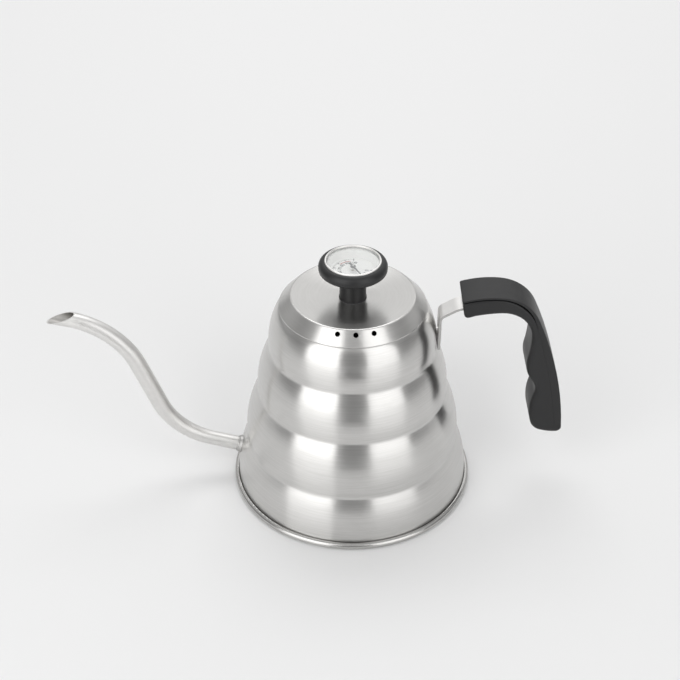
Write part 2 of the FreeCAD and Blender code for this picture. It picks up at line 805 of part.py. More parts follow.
# Screws from below, through inner moulding and strap into the rib of the cover
screws = []
screw_length = f"(screw_seat + 2 * {strap_half} + screw_bite)"
for number in range(2):
    reach = f"(screw_first + {number} * screw_pitch)"
    seat = f"({strap_line(reach)} - {strap_half} - screw_seat)"
    for body in (grip_inner, handle_strap, grip_cover):
        drill(body, f"{body.Label}_screw_hole_{number}", "screw_radius + screw_play",
              f"{screw_length} + 2", reach, "0", f"{seat} - 1.5")
    drill(grip_inner, f"screw_recess_{number}", "screw_head + 2 * screw_play", "8", reach, "0", f"{seat} - 8")
    screw = turned(f"grip_screw_{number}", [
        ("0", "-0.5 * screw_head_height"),
        ("0.4 * screw_head", "-0.5 * screw_head_height"),
        ("0.4 * screw_head", "-screw_head_height"),
        ("screw_head", "-screw_head_height"),
        ("screw_head", "0"),
        ("screw_radius", "0"),
        ("screw_radius", screw_length),
        ("0", screw_length),
    ])
    put(screw, reach, "0", seat)
    screws.append(screw)
pieces["grip_screws"] = group("grip_screws", screws)

# Skirt of the lid: ring in the neck with a flange that rests on the ledge of the mouth
skirt_radius = "(neck_radius - skirt_play)"
lid_base = "(mouth + skirt_sheet)"
pieces["lid_skirt"] = turned("lid_skirt", [
    (f"{skirt_radius} - skirt_sheet", "mouth - skirt_depth"),
    (skirt_radius, "mouth - skirt_depth"),
    (skirt_radius, "mouth"),
    ("mouth_radius - skirt_recess", "mouth"),
    ("mouth_radius - skirt_recess", lid_base),
    (f"{skirt_radius} - skirt_sheet", lid_base),
])

# Lid: flat lip, chamfered side, top dished a little towards the knob, three vents in the chamfer
plate = f"({lid_base} + lid_rise)"
pad = f"({plate} - lid_dish)"
side_foot = f"({lid_base} + 0.5)"
lid_hole = "(stud_radius + thread_play)"
lid_shell = turned("lid_shell", [
    (lid_hole, pad),
    (lid_hole, f"{pad} - lid_sheet"),
    ("lid_pad - 0.3", f"{pad} - lid_sheet"),
    ("plate_radius - 0.5", f"{plate} - 1.1 * lid_sheet"),
    ("mouth_radius - 1.2", lid_base),
    ("mouth_radius", lid_base),
    ("mouth_radius", side_foot),
    ("plate_radius + 0.33 * lid_edge_round", f"{plate} - 0.345 * lid_edge_round", "lid_edge_round", 1),
    ("plate_radius - 0.48 * lid_edge_round", plate),
    ("lid_pad", pad),
])
vent_tilt = f"atan(({plate} - {side_foot}) / (mouth_radius - plate_radius))"
vent_reach = "(mouth_radius + (plate_radius - mouth_radius) * vent_along)"
vent_height = f"({side_foot} + ({plate} - {side_foot}) * vent_along)"
vent = drill(lid_shell, "vent", "vent_radius", "8", "0", f"4 * sin({vent_tilt}) - {vent_reach}",
             f"{vent_height} - 4 * cos({vent_tilt})", (1, 0, 0), vent_tilt)
vents = lid_shell.newObject("PartDesign::PolarPattern", "vents")
vents.Originals = [vent]
vents.Axis = (next(item for item in lid_shell.Origin.OriginFeatures if item.Role == "Z_Axis"), [""])
vents.setExpression("Angle", bound("2 * vent_spread"))
vents.Occurrences = 3
lid_shell.Tip = vents
put(lid_shell, "0", "0", "0", (0, 0, -1), "vent_spread - lid_turn")
doc.recompute()
pieces["lid_shell"] = lid_shell

# Seal, washer and nut that clamp the knob to the lid
knob_base = f"({pad} + seal_height)"
pieces["knob_seal"] = turned("knob_seal", [
    (lid_hole, pad),
    ("knob_stem + 0.3", pad),
    ("knob_stem + 0.3", knob_base),
    (lid_hole, knob_base),
])
washer_top = f"({pad} - lid_sheet)"
nut_top = f"({washer_top} - washer_sheet)"
pieces["lid_washer"] = turned("lid_washer", [
    (lid_hole, nut_top),
    ("washer_radius", nut_top),
    ("washer_radius", washer_top),
    (lid_hole, washer_top),
])
nut_blank = doc.addObject("Part::Prism", "nut_blank")
nut_blank.Polygon = 6
nut_blank.setExpression("Circumradius", bound("nut_across / sqrt(3)"))
nut_blank.setExpression("Height", bound("nut_height"))
nut_bore = doc.addObject("Part::Cylinder", "nut_bore")
nut_bore.setExpression("Radius", bound(lid_hole))
nut_bore.setExpression("Height", bound("nut_height"))
lid_nut = doc.addObject("Part::Cut", "lid_nut")
lid_nut.Base = nut_blank
lid_nut.Tool = nut_bore
put(lid_nut, "0", "0", f"{nut_top} - nut_height")
doc.recompute()
pieces["lid_nut"] = lid_nut
stud_foot = f"({nut_top} - nut_height - 1.2)"
stud_head = f"({knob_base} + stud_rise)"
pieces["knob_stud"] = turned("knob_stud", [
    ("stud_bore", stud_foot),
    ("stud_radius", stud_foot),
    ("stud_radius", stud_head),
    ("stud_bore", stud_head),
])

# Knob: stem, flaring dish and rounded rim, with a pocket for the thermometer
knob_top = f"({knob_base} + knob_height)"
dial_top = f"({knob_top} - dial_depth)"
dial_low = f"({dial_top} - dial_sheet)"
pocket = f"({dial_low} - case_floor)"
pocket_radius = "(case_radius + case_play)"
rim_low = f"({knob_base} + knob_rim)"
pieces["knob"] = turned("knob", [
    (lid_hole, knob_base),
    ("knob_stem", knob_base),
    ("knob_stem", f"{knob_base} + knob_flare - 1.5", "1.8", -1),
    ("knob_stem + 1.2", f"{knob_base} + knob_flare"),
    ("knob_radius - 1.1", f"{rim_low} - 0.4", "1.4", 1),
    ("knob_radius", f"{rim_low} + 0.9"),
    ("knob_radius", f"{rim_low} + 1.6", "3.6", 1),
    ("knob_mouth", knob_top),
    (pocket_radius, knob_top),
    (pocket_radius, pocket),
    ("stud_bore", pocket),
    ("stud_bore", stud_head),
    (lid_hole, stud_head),
])

# Thermometer: case, dial, spacer ring, gasket, window and bezel
inside_case = "(case_radius - case_sheet)"
loose_disc = f"({inside_case} - case_play)"
lens_low = f"({knob_top} - lens_height)"
gasket_low = f"({lens_low} - gasket_height)"
pieces["gauge_case"] = turned("gauge_case", [
    ("probe_radius + 0.02", pocket),
    ("case_radius", pocket),
    ("case_radius", knob_top),
    (inside_case, knob_top),
    (inside_case, dial_low),
    ("probe_radius + 0.02", dial_low),
])
pieces["dial_face"] = turned("dial_face", [
    ("spindle_radius + 0.4", dial_low),
    (loose_disc, dial_low),
    (loose_disc, dial_top),
    ("spindle_radius + 0.4", dial_top),
])
pieces["dial_ring"] = turned("dial_ring", [
    (f"{loose_disc} - ring_foot", dial_top),
    (loose_disc, dial_top),
    (loose_disc, gasket_low),
    (f"{loose_disc} - ring_sheet", gasket_low),
])
pieces["lens_gasket"] = turned("lens_gasket", [
    (f"{loose_disc} - ring_sheet", gasket_low),
    (loose_disc, gasket_low),
    (loose_disc, lens_low),
    (f"{loose_disc} - ring_sheet", lens_low),
])
pieces["gauge_lens"] = turned("gauge_lens", [
    ("0", lens_low),
    (loose_disc, lens_low),
    (loose_disc, knob_top),
    ("0", knob_top),
])
bezel_top = f"({knob_top} + bezel_height)"
pieces["gauge_bezel"] = turned("gauge_bezel", [
    ("window_radius", knob_top),
    ("case_radius + bezel_lap", knob_top),
    ("case_radius + bezel_lap", f"{bezel_top} - 0.5", "0.5", 1),
    ("case_radius + bezel_lap - 0.5", bezel_top),
    ("window_radius + 0.3", bezel_top),
])

# Probe: tube, rounded plug at its end, bush for the spindle at its top
probe_bore = "(probe_radius - probe_wall)"
probe_end = f"({dial_low} - probe_length)"
plug_top = f"({probe_end} + plug_height)"
pieces["probe_tube"] = turned("probe_tube", [
    (probe_bore, probe_end),
    ("probe_radius", probe_end),
    ("probe_radius", dial_low),
    (probe_bore, dial_low),
])
pieces["probe_plug"] = turned("probe_plug", [
    ("0", f"{probe_end} - probe_radius", "probe_radius", 1),
    ("probe_radius", probe_end),
    (f"{probe_bore} - 0.02", probe_end),
    (f"{probe_bore} - 0.02", plug_top),
    ("0", plug_top),
])
pieces["spindle_bush"] = turned("spindle_bush", [
    ("spindle_radius + spindle_play", f"{dial_low} - bush_length"),
    (f"{probe_bore} - 0.02", f"{dial_low} - bush_length"),
    (f"{probe_bore} - 0.02", dial_low),
    ("spindle_radius + spindle_play", dial_low),
])

# Bimetal helix round the spindle, standing on the plug
bimetal_coil = new_body("bimetal_coil")
coil_section = sketch_on(bimetal_coil, "XZ_Plane", "coil_section")
coil_section.addGeometry(Part.Circle(
    FreeCAD.Vector(value("coil_radius"), value(f"{plug_top} + coil_wire"), 0),
    FreeCAD.Vector(0, 0, 1),
    value("coil_wire"),
))
pin(coil_section, 0, 3, "coil_radius", f"{plug_top} + coil_wire")
hold(coil_section, "Radius", "coil_wire", 0)
helix = bimetal_coil.newObject("PartDesign::AdditiveHelix", "coil_helix")
helix.Profile = coil_section
helix.ReferenceAxis = (coil_section, ["V_Axis"])
helix.Mode = "pitch-height-angle"
helix.setExpression("Pitch", bound("coil_pitch"))
helix.setExpression("Height", bound("coil_length"))
bimetal_coil.Tip = helix
doc.recompute()
pieces["bimetal_coil"] = bimetal_coil

# Pointer on its spindle, over the dial
pointer_low = f"({dial_top} + pointer_height)"
pointer = turned("pointer", [
    ("0", "0"),
    ("pointer_hub", "0"),
    ("pointer_hub", "pointer_sheet"),
    ("0.7 * pointer_hub", "2 * pointer_sheet"),
    ("0", "2 * pointer_sheet"),
])
needle = sketch_on(pointer, "XY_Plane", "needle_outline")
chain(needle, [
    ("-pointer_tail", "-0.6 * pointer_width"),
    ("pointer_reach", "-0.15 * pointer_width"),
    ("pointer_reach", "0.15 * pointer_width"),
    ("-pointer_tail", "0.6 * pointer_width"),
], closed=True)
needle_pad = pointer.newObject("PartDesign::Pad", "needle")
needle_pad.Profile = needle
needle_pad.setExpression("Length", bound("pointer_sheet"))
pointer.Tip = needle_pad
doc.recompute()
drill(pointer, "pointer_bore", "spindle_radius + 0.02", "4 * pointer_sheet", "0", "0", "-pointer_sheet")
put(pointer, "0", "0", pointer_low, (0, 0, 1), "pointer_angle")
doc.recompute()
pieces["pointer"] = pointer
pieces["spindle"] = turned("spindle", [
    ("0", f"{plug_top} + 0.3"),
    ("spindle_radius", f"{plug_top} + 0.3"),
    ("spindle_radius", f"{pointer_low} + 2 * pointer_sheet"),
    ("0", f"{pointer_low} + 2 * pointer_sheet"),
])

# Check every object, then write one file for each piece
faulty = [item.Label for item in doc.Objects if {"Invalid", "Error"} & set(item.State)]
assert not faulty, f"not built: {faulty}"
os.makedirs("parts", exist_ok=True)
for label, piece in pieces.items():
    piece.Label = label
    assert not piece.Shape.isNull() and piece.Shape.isValid(), f"bad shape: {label}"
    piece.Shape.exportStep(f"parts/{label}.step")
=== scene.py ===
# Gooseneck drip kettle: bulged steel body, bent spout, black hook grip, lid with a thermometer in its knob
import bmesh
import bpy
import json
from cmath import phase, rect
from math import asin, cos, pi, radians, sin, tan
from mathutils import Matrix, Vector

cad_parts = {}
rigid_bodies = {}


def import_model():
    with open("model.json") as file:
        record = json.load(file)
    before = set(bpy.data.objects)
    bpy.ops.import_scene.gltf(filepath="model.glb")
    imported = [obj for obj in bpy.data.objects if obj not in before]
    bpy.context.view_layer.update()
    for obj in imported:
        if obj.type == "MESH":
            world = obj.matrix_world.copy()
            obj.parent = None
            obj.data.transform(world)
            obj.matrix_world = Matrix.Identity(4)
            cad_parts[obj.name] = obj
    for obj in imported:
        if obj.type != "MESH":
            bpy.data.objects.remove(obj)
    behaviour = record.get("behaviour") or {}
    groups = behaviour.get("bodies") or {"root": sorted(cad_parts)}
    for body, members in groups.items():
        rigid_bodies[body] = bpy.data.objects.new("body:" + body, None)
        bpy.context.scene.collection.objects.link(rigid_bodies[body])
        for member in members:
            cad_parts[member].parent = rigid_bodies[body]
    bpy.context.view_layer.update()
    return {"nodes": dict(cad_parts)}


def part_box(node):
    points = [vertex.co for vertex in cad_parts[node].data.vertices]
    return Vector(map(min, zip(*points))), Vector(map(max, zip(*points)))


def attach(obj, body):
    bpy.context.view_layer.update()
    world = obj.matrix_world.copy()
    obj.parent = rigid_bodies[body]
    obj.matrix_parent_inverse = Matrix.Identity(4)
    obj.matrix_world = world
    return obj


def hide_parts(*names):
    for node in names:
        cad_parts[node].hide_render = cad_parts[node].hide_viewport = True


for leftover in list(bpy.data.objects):
    bpy.data.objects.remove(leftover)
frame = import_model()
nodes = frame["nodes"]

# Body shell: stainless sheet spun over a former into four bulged tiers, its mouth turned in to a ledge and
# a short neck. The creases between the tiers are pressed round, and the outside is brushed on a lathe.
# A hole low on the left takes the spout. Shapes are in millimetres, patterns and the studio in metres.
creases = [(69.2, 4.2), (62.9, 32.0), (55.4, 66.1), (48.1, 95.8), (41.9, 122.1)]
bulges = [1.82, 2.67, 2.45, 2.28]
crease_blend = 1.3
crease_shares = (0.2, 0.4, 0.6, 0.8)
tier_steps = 12
shell_sheet = 0.7
shell_foot = 0.8
foot_radius = creases[0][0]
mouth_radius, mouth = creases[-1]
neck_radius = 38.0
neck_foot = 116.1
spout_corners = [-65.0 + 18.4j, -106.8 + 29.95j, -134.2 + 105.4j, -178.0 + 116.5j]
spout_hole = 4.35
hole_ends = (-8, 12)
crisp_edge = radians(34)


def skin(name, rows, closed=True):
    """Quads over rows of points in millimetres; each row is a loop, and the rows close up or get two caps."""
    width = len(rows[0])
    points = [tuple(0.001 * value for value in point) for row in rows for point in row]
    faces = []
    for index in range(len(rows) if closed else len(rows) - 1):
        here = index * width
        there = (index + 1) % len(rows) * width
        for step in range(width):
            after = (step + 1) % width
            faces.append((here + step, here + after, there + after, there + step))
    if not closed:
        faces.append(tuple(range(width)))
        faces.append(tuple(range((len(rows) - 1) * width, len(rows) * width)))
    mesh = bpy.data.meshes.new(name)
    mesh.from_pydata(points, [], faces)
    shaper = bmesh.new()
    shaper.from_mesh(mesh)
    bmesh.ops.remove_doubles(shaper, verts=shaper.verts, dist=1e-7)
    bmesh.ops.dissolve_degenerate(shaper, edges=shaper.edges, dist=1e-7)
    bmesh.ops.triangulate(shaper, faces=[face for face in shaper.faces if len(face.verts) > 4])
    bmesh.ops.recalc_face_normals(shaper, faces=shaper.faces)
    shaper.to_mesh(mesh)
    shaper.free()
    mesh.shade_smooth()
    mesh.set_sharp_from_angle(angle=crisp_edge)
    piece = bpy.data.objects.new(name, mesh)
    bpy.context.scene.collection.objects.link(piece)
    return piece


def turned(name, outline, steps=192):
    """A piece turned about the upright axis from a closed outline of radius and height."""
    angles = [2 * pi * step / steps for step in range(steps)]
    return skin(name, [[(r * cos(a), r * sin(a), z) for r, z in outline] for a in angles])


def tier_line(inset):
    """Side of the shell from foot to mouth: one arc for each tier, each crease rounded over a short blend."""
    line = []
    for index, bulge in enumerate(bulges):
        low = Vector(creases[index]) - Vector((inset, 0))
        high = Vector(creases[index + 1]) - Vector((inset, 0))
        chord = high - low
        radius = (chord.length ** 2 / 4 + bulge ** 2) / (2 * bulge)
        outward = Vector((chord.y, -chord.x)).normalized()
        centre = (low + high) / 2 + outward * (bulge - radius)
        spread = (low - centre).angle(high - centre)
        share = crease_blend / chord.length
        start = 0 if index == 0 else share
        end = 1 if index == len(bulges) - 1 else 1 - share
        for step in range(tier_steps + 1):
            turn = (start + (end - start) * step / tier_steps - 0.5) * spread
            point = centre + radius * (outward * cos(turn) + chord.normalized() * sin(turn))
            if step == 0 and line:
                before = line[-1]
                for part in crease_shares:
                    line.append(before.lerp(low, part).lerp(low.lerp(point, part), part))
            line.append(point)
    return line


def ring_at(station, inset, steps=48):
    """Circle of points square to the spout at a station, which is a place, a heading and a radius."""
    place, heading, radius = station
    reach = radius - inset
    turns = [2 * pi * step / steps for step in range(steps)]
    rims = [(place + heading * 1j * reach * cos(turn), reach * sin(turn)) for turn in turns]
    return [(middle.real, aside, middle.imag) for middle, aside in rims]


def cut(piece, cutter):
    """Takes the cutter's shape out of a piece."""
    knife = piece.modifiers.new("cut", "BOOLEAN")
    knife.operation = "DIFFERENCE"
    knife.solver = "EXACT"
    knife.object = cutter
    bpy.context.view_layer.update()
    graph = bpy.context.evaluated_depsgraph_get()
    shape = bpy.data.meshes.new_from_object(piece.evaluated_get(graph))
    shape.name = piece.name
    piece.modifiers.clear()
    piece.data = shape
    bpy.data.objects.remove(cutter)
    shape.shade_smooth()
    shape.set_sharp_from_angle(angle=crisp_edge)


ledge = [
    (mouth_radius - 0.15, mouth - 0.35), (mouth_radius - 0.55, mouth), (neck_radius + 0.5, mouth),
    (neck_radius + 0.15, mouth - 0.15), (neck_radius, mouth - 0.5),
]
neck = [
    (neck_radius, neck_foot), (neck_radius + shell_sheet, neck_foot),
    (neck_radius + shell_sheet, mouth - shell_sheet), (mouth_radius - 0.9, mouth - shell_sheet),
]
shell = turned("shell", [
    (foot_radius, shell_foot), *tier_line(0)[:-1], *ledge, *neck,
    *reversed(tier_line(shell_sheet)[:-1]), (foot_radius - shell_sheet, shell_foot),
])
first_run = (spout_corners[1] - spout_corners[0]) / abs(spout_corners[1] - spout_corners[0])
cut(shell, skin("spout_hole", [
    ring_at((spout_corners[0] + along * first_run, first_run, spout_hole), 0, steps=64) for along in hole_ends
], closed=False))


def linear(shade):
    """Linear colour of an sRGB hex value."""
    parts = [int(shade[place:place + 2], 16) / 255 for place in (1, 3, 5)]
    return [part / 12.92 if part <= 0.04045 else ((part + 0.055) / 1.055) ** 2.4 for part in parts] + [1.0]


def add(tree, kind, inputs=None, **settings):
    """One node with its settings; an input is a number, a colour or another node's output."""
    node = tree.nodes.new(kind)
    for name, setting in settings.items():
        setattr(node, name, setting)
    for name, source in (inputs or {}).items():
        if isinstance(source, bpy.types.NodeSocket):
            tree.links.new(source, node.inputs[name])
        else:
            node.inputs[name].default_value = source
    return node


def finish_of(name):
    """A new material and its node tree, emptied."""
    material = bpy.data.materials.new(name)
    material.use_nodes = True
    material.node_tree.nodes.clear()
    return material, material.node_tree


def wear(material, *pieces):
    """Puts one material on pieces, whatever they had."""
    for piece in pieces:
        piece.data.materials.clear()
        piece.data.materials.append(material)


def lathe_brushed(name, depth, dark, light):
    """Stainless steel 18/8 brushed on the lathe with fine abrasive; depth is how far the hairlines bump.

    Hairlines run round the axis, so lights stay sharp sideways and smear up and down. They are about 0.1 mm
    wide and are drawn 0.5 mm wide, so that they show from a step away. Between them lies a finer, smoother
    ground, and handling leaves clouds of slightly duller steel 12 mm wide.
    """
    hairline = 0.0005
    cloud_width = 0.012
    strokes_round = 2.5
    scratched_share = 0.45
    cloud_dulling = 0.05
    ground_smoother = 0.09
    material, tree = finish_of(name)
    place = add(tree, "ShaderNodeTexCoord").outputs["Object"]
    split = add(tree, "ShaderNodeSeparateXYZ", {0: place})
    flat = add(tree, "ShaderNodeCombineXYZ", {"X": split.outputs["X"], "Y": split.outputs["Y"]}).outputs[0]
    reach = add(tree, "ShaderNodeVectorMath", {0: flat}, operation="LENGTH").outputs["Value"]
    round_axis = add(tree, "ShaderNodeVectorMath", {0: flat}, operation="NORMALIZE").outputs["Vector"]
    along = add(tree, "ShaderNodeMath", {0: split.outputs["Z"], 1: reach}, operation="SUBTRACT").outputs[0]
    lines = add(tree, "ShaderNodeMath", {0: along, 1: 1 / hairline}, operation="MULTIPLY").outputs[0]
    upright = add(tree, "ShaderNodeCombineXYZ", {"Z": lines}).outputs[0]
    swept = add(tree, "ShaderNodeVectorMath", {0: round_axis, 1: [strokes_round] * 3, 2: upright},
                operation="MULTIPLY_ADD").outputs["Vector"]
    strokes = add(tree, "ShaderNodeTexNoise", {"Vector": swept, "Scale": 1.0, "Detail": 3.0,
                                               "Roughness": 0.65}).outputs["Fac"]
    cloud = add(tree, "ShaderNodeTexNoise", {"Vector": place, "Scale": 1 / cloud_width,
                                             "Detail": 3.0}).outputs["Fac"]
    tone = add(tree, "ShaderNodeMapRange", {
        "Value": strokes, "From Min": 0.3, "From Max": 0.7}).outputs["Result"]
    colour = add(tree, "ShaderNodeMix", {"Factor": tone, "A": linear(dark), "B": linear(light)},
                 data_type="RGBA").outputs["Result"]
    rough_lines = add(tree, "ShaderNodeMapRange", {"Value": tone, "To Min": 0.275,
                                                   "To Max": 0.31}).outputs["Result"]
    rough = add(tree, "ShaderNodeMath", {0: cloud, 1: cloud_dulling, 2: rough_lines},
                operation="MULTIPLY_ADD").outputs[0]
    smooth = add(tree, "ShaderNodeMath", {0: rough, 1: ground_smoother}, operation="SUBTRACT").outputs[0]
    bump = add(tree, "ShaderNodeBump", {"Height": strokes, "Strength": depth,
                                        "Distance": 0.0001}).outputs["Normal"]
    tangent = add(tree, "ShaderNodeTangent", direction_type="RADIAL", axis="Z").outputs["Tangent"]
    ground, scratched = [
        add(tree, "ShaderNodeBsdfPrincipled", {
            "Base Color": colour, "Metallic": 1.0, "Roughness": level, "Normal": bump, "Anisotropic": pull,
            "Anisotropic Rotation": 0.25, "Tangent": tangent,
        }).outputs[0]
        for level, pull in ((smooth, 0.5), (rough, 0.82))
    ]
    steel = add(tree, "ShaderNodeMixShader", {0: scratched_share, 1: ground, 2: scratched})
    add(tree, "ShaderNodeOutputMaterial", {"Surface": steel.outputs[0]})
    return material


brushed = lathe_brushed("stainless_18_8_lathe_brushed", 0.02, "#C7C6C4", "#D4D3D1")
wear(brushed, shell)
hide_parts("body_shell")
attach(shell, "kettle")

# Base plate: stainless disc with one pressed groove, its edge rolled into the bead that stands round the
# foot. The bead is burnished by the roller, so it is smoother than the shell. Painted shade darkens the
# seam where the bead grips the shell.
seam_height = 0.0036
seam_radius = 0.0699
seam_width = 0.0003
rolled_grain = 0.003
rolled, tree = finish_of("stainless_18_8_rolled_edge")
place = add(tree, "ShaderNodeTexCoord").outputs["Object"]
split = add(tree, "ShaderNodeSeparateXYZ", {0: place})
flat = add(tree, "ShaderNodeCombineXYZ", {"X": split.outputs["X"], "Y": split.outputs["Y"]}).outputs[0]
reach = add(tree, "ShaderNodeVectorMath", {0: flat}, operation="LENGTH").outputs["Value"]
high = add(tree, "ShaderNodeMath", {0: split.outputs["Z"], 1: seam_height},
           operation="GREATER_THAN").outputs[0]
close = add(tree, "ShaderNodeMapRange", {
    "Value": reach, "From Min": seam_radius - seam_width, "From Max": seam_radius,
    "To Min": 1.0, "To Max": 0.0}).outputs["Result"]
seam_shade = add(tree, "ShaderNodeMath", {0: high, 1: close}, operation="MULTIPLY").outputs[0]
grain = add(tree, "ShaderNodeTexNoise", {"Vector": place, "Scale": 1 / rolled_grain, "Detail": 4.0,
                                         "Roughness": 0.6}).outputs["Fac"]
unshaded = add(tree, "ShaderNodeMix", {"Factor": grain, "A": linear("#B9B8B6"), "B": linear("#C6C5C3")},
            data_type="RGBA").outputs["Result"]
# The dark colour along the seam is painted shade where the bead meets the shell
colour = add(tree, "ShaderNodeMix", {"Factor": seam_shade, "A": unshaded, "B": linear("#5E5D5B")}, data_type="RGBA")
rough = add(tree, "ShaderNodeMapRange", {"Value": grain, "From Min": 0.3, "From Max": 0.7, "To Min": 0.2,
                                         "To Max": 0.26}).outputs["Result"]
steel = add(tree, "ShaderNodeBsdfPrincipled", {
    "Base Color": colour.outputs["Result"], "Metallic": 1.0, "Roughness": rough})
add(tree, "ShaderNodeOutputMaterial", {"Surface": steel.outputs[0]})
wear(rolled, nodes["base_plate"])

# Spout: stainless tube drawn to size, bent twice and cut at a slant, set in the shell and welded round its
# root. The bead is ground back to a soft ring, and the bore keeps the duller skin of the drawn tube.
spout_bends = [44.0, 51.0]
spout_radii = [4.3, 4.3, 5.0, 5.0, 4.5, 5.0]
spout_sheet = 0.5
lip = -173.4 + 110.9j
lip_along = rect(1, radians(17.5))
lip_above = lip_along * 1j
knife_behind = 15
knife_ahead = 40
knife_above = 30
knife_half = 15
lip_facing = 0.98


def bent_line(corners, bends, radii, bits=24):
    """Stations on straight runs joined by bends, each a place, a heading and a radius."""
    stations = []
    for index, bend in enumerate(bends):
        corner = corners[index + 1]
        arrive = (corner - corners[index]) / abs(corner - corners[index])
        leave = (corners[index + 2] - corner) / abs(corners[index + 2] - corner)
        if index == 0:
            stations.append((corners[0], arrive, radii[0]))
        turn = phase(leave / arrive)
        start = corner - arrive * bend * tan(abs(turn) / 2)
        first, last = radii[2 * index + 1:2 * index + 3]
        for bit in range(bits + 1):
            share = bit / bits
            chord = rect(2 * bend * sin(abs(turn) * share / 2), turn * share / 2)
            radius = first + (last - first) * share
            stations.append((start + arrive * chord, arrive * rect(1, turn * share), radius))
    stations.append((corners[-1], leave, radii[-1]))
    return stations


route = bent_line(spout_corners, spout_bends, spout_radii)
outside = [ring_at(station, 0) for station in route]
inside = [ring_at(station, spout_sheet) for station in reversed(route)]
spout = skin("spout", outside + inside)
knife_start = lip - knife_behind * lip_along
knife_end = lip + knife_ahead * lip_along
tip_corners = [knife_start, knife_end, knife_end + knife_above * lip_above,
               knife_start + knife_above * lip_above]
cut(spout, skin("tip_knife", [
    [(corner.real, side, corner.imag) for corner in tip_corners] for side in (-knife_half, knife_half)
], closed=False))


def satin(name, dark, light, low, high, edge_shade=None):
    """Satin stainless steel between two shades and two values of roughness: broad lights on a faint grain.

    The grain is under 0.1 mm wide and is drawn 0.7 mm wide, so that it shows. An edge shade goes on the
    faces that look front or back, the cut edges of a bar, as painted shade where they stand in shadow.
    """
    patch_width = 0.006
    grain_width = 0.0007
    material, tree = finish_of(name)
    place = add(tree, "ShaderNodeTexCoord").outputs["Object"]
    patch = add(tree, "ShaderNodeTexNoise", {"Vector": place, "Scale": 1 / patch_width, "Detail": 5.0,
                                             "Roughness": 0.6}).outputs["Fac"]
    grain = add(tree, "ShaderNodeTexNoise", {"Vector": place, "Scale": 1 / grain_width,
                                             "Detail": 2.0}).outputs["Fac"]
    tone = add(tree, "ShaderNodeMapRange", {
        "Value": patch, "From Min": 0.3, "From Max": 0.7}).outputs["Result"]
    colour = add(tree, "ShaderNodeMix", {"Factor": tone, "A": linear(dark), "B": linear(light)},
                 data_type="RGBA").outputs["Result"]
    # Faces looking front or back are painted darker: painted shade on the cut edges
    if edge_shade:
        facing = add(tree, "ShaderNodeTexCoord").outputs["Normal"]
        depth = add(tree, "ShaderNodeSeparateXYZ", {0: facing}).outputs["Y"]
        sideways = add(tree, "ShaderNodeMath", {0: depth}, operation="ABSOLUTE").outputs[0]
        edge = add(tree, "ShaderNodeMapRange", {"Value": sideways, "From Min": 0.6,
                                                "From Max": 0.8}).outputs["Result"]
        colour = add(tree, "ShaderNodeMix", {"Factor": edge, "A": colour, "B": linear(edge_shade)},
                     data_type="RGBA").outputs["Result"]
    rough = add(tree, "ShaderNodeMapRange", {"Value": tone, "To Min": low, "To Max": high}).outputs["Result"]
    bump = add(tree, "ShaderNodeBump", {
        "Height": grain, "Strength": 0.012, "Distance": 0.0001}).outputs["Normal"]
    steel = add(tree, "ShaderNodeBsdfPrincipled", {
        "Base Color": colour, "Metallic": 1.0, "Roughness": rough, "Normal": bump})
    add(tree, "ShaderNodeOutputMaterial", {"Surface": steel.outputs[0]})
    return material


drawn = satin("stainless_drawn_tube_satin", "#DAD9D7", "#E3E2E0", 0.42, 0.48)
bore = satin("stainless_drawn_bore_dull", "#A9A7A4", "#BBB9B6", 0.42, 0.52)
ground_weld = satin("stainless_weld_ground_back", "#B2B1AF", "#BEBDBB", 0.4, 0.46)
wear(drawn, spout)
wear(ground_weld, nodes["spout_weld"])
spout.data.materials.append(bore)
for face in spout.data.polygons:
    spot = 1000 * complex(face.center.x, face.center.z)
    place, heading, radius = min(route, key=lambda station: abs(spot - station[0]))
    aside = spot - place - heading * ((spot - place) / heading).real
    outward = aside.real * face.normal.x + 1000 * face.center.y * face.normal.y + aside.imag * face.normal.z
    on_lip = face.normal.x * lip_above.real + face.normal.z * lip_above.imag > lip_facing
    face.material_index = 1 if outward < 0 and not on_lip else 0
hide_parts("spout_tube")
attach(spout, "kettle")

# Handle strap: flat stainless bar, bent up the shell and out into the grip, held by two domed rivets.
# Bar and rivets are tumbled smooth; the cut edges of the bar that face front or back carry painted shade.
tumbled = satin("stainless_tumbled_bar", "#EDECEA", "#F3F2F0", 0.34, 0.44, edge_shade="#B8B7B5")
tumbled_rivet = satin("stainless_tumbled_rivet", "#EDECEA", "#F3F2F0", 0.34, 0.44)
wear(tumbled, nodes["handle_strap"])
wear(tumbled_rivet, nodes["strap_rivets"])

# Grip: two mouldings in black glass-filled nylon, an inner one with finger bumps and a cover strip along
# the back, screwed together over the strap from below. The mould was spark-eroded to a fine matt grain, and
# the parting line shows as a groove, because the edges on both sides of it are eased.
grip_half = 11.0
crown_radius = 55.0
underside_radius = 90.0
cover_front = 60.7 + 131.38j
cover_stops = [83.2 + 133.88j, 104.5 + 118.78j, 124.4 + 41.48j]
parting_front = 60.7 + 130.38j
parting_stops = [83.2 + 132.88j, 102.7 + 117.38j, 120.4 + 41.48j]
finger_front = 62.5 + 119.58j
finger_stops = [83.2 + 122.98j, 101.4 + 106.18j, 100.3 + 91.68j, 104.3 + 74.98j, 106.0 + 65.48j,
                106.0 + 43.98j, 111.5 + 38.48j, 120.5 + 37.18j, 124.4 + 40.18j]
heel = 124.4 + 41.48j
front_reach = 3.0
nose_reach = 0.7
front_edge = 1.6
front_corner_edge = 1.7
finger_edge = 2.4
heel_points = 9
heel_edges = [2.2 - 0.15 * step for step in range(heel_points)]
heel_edge = 0.5
cover_edge = 0.6
sharp_edge = 0.1
groove_edge = 1.1
groove_width = 0.8
rebate_depth = 1.6
screw_places = [(69.0, 122.8), (79.5, 124.9)]
screw_recess = 2.8
recess_foot = 105
mitre_least = 0.6
side_lead = 1.1


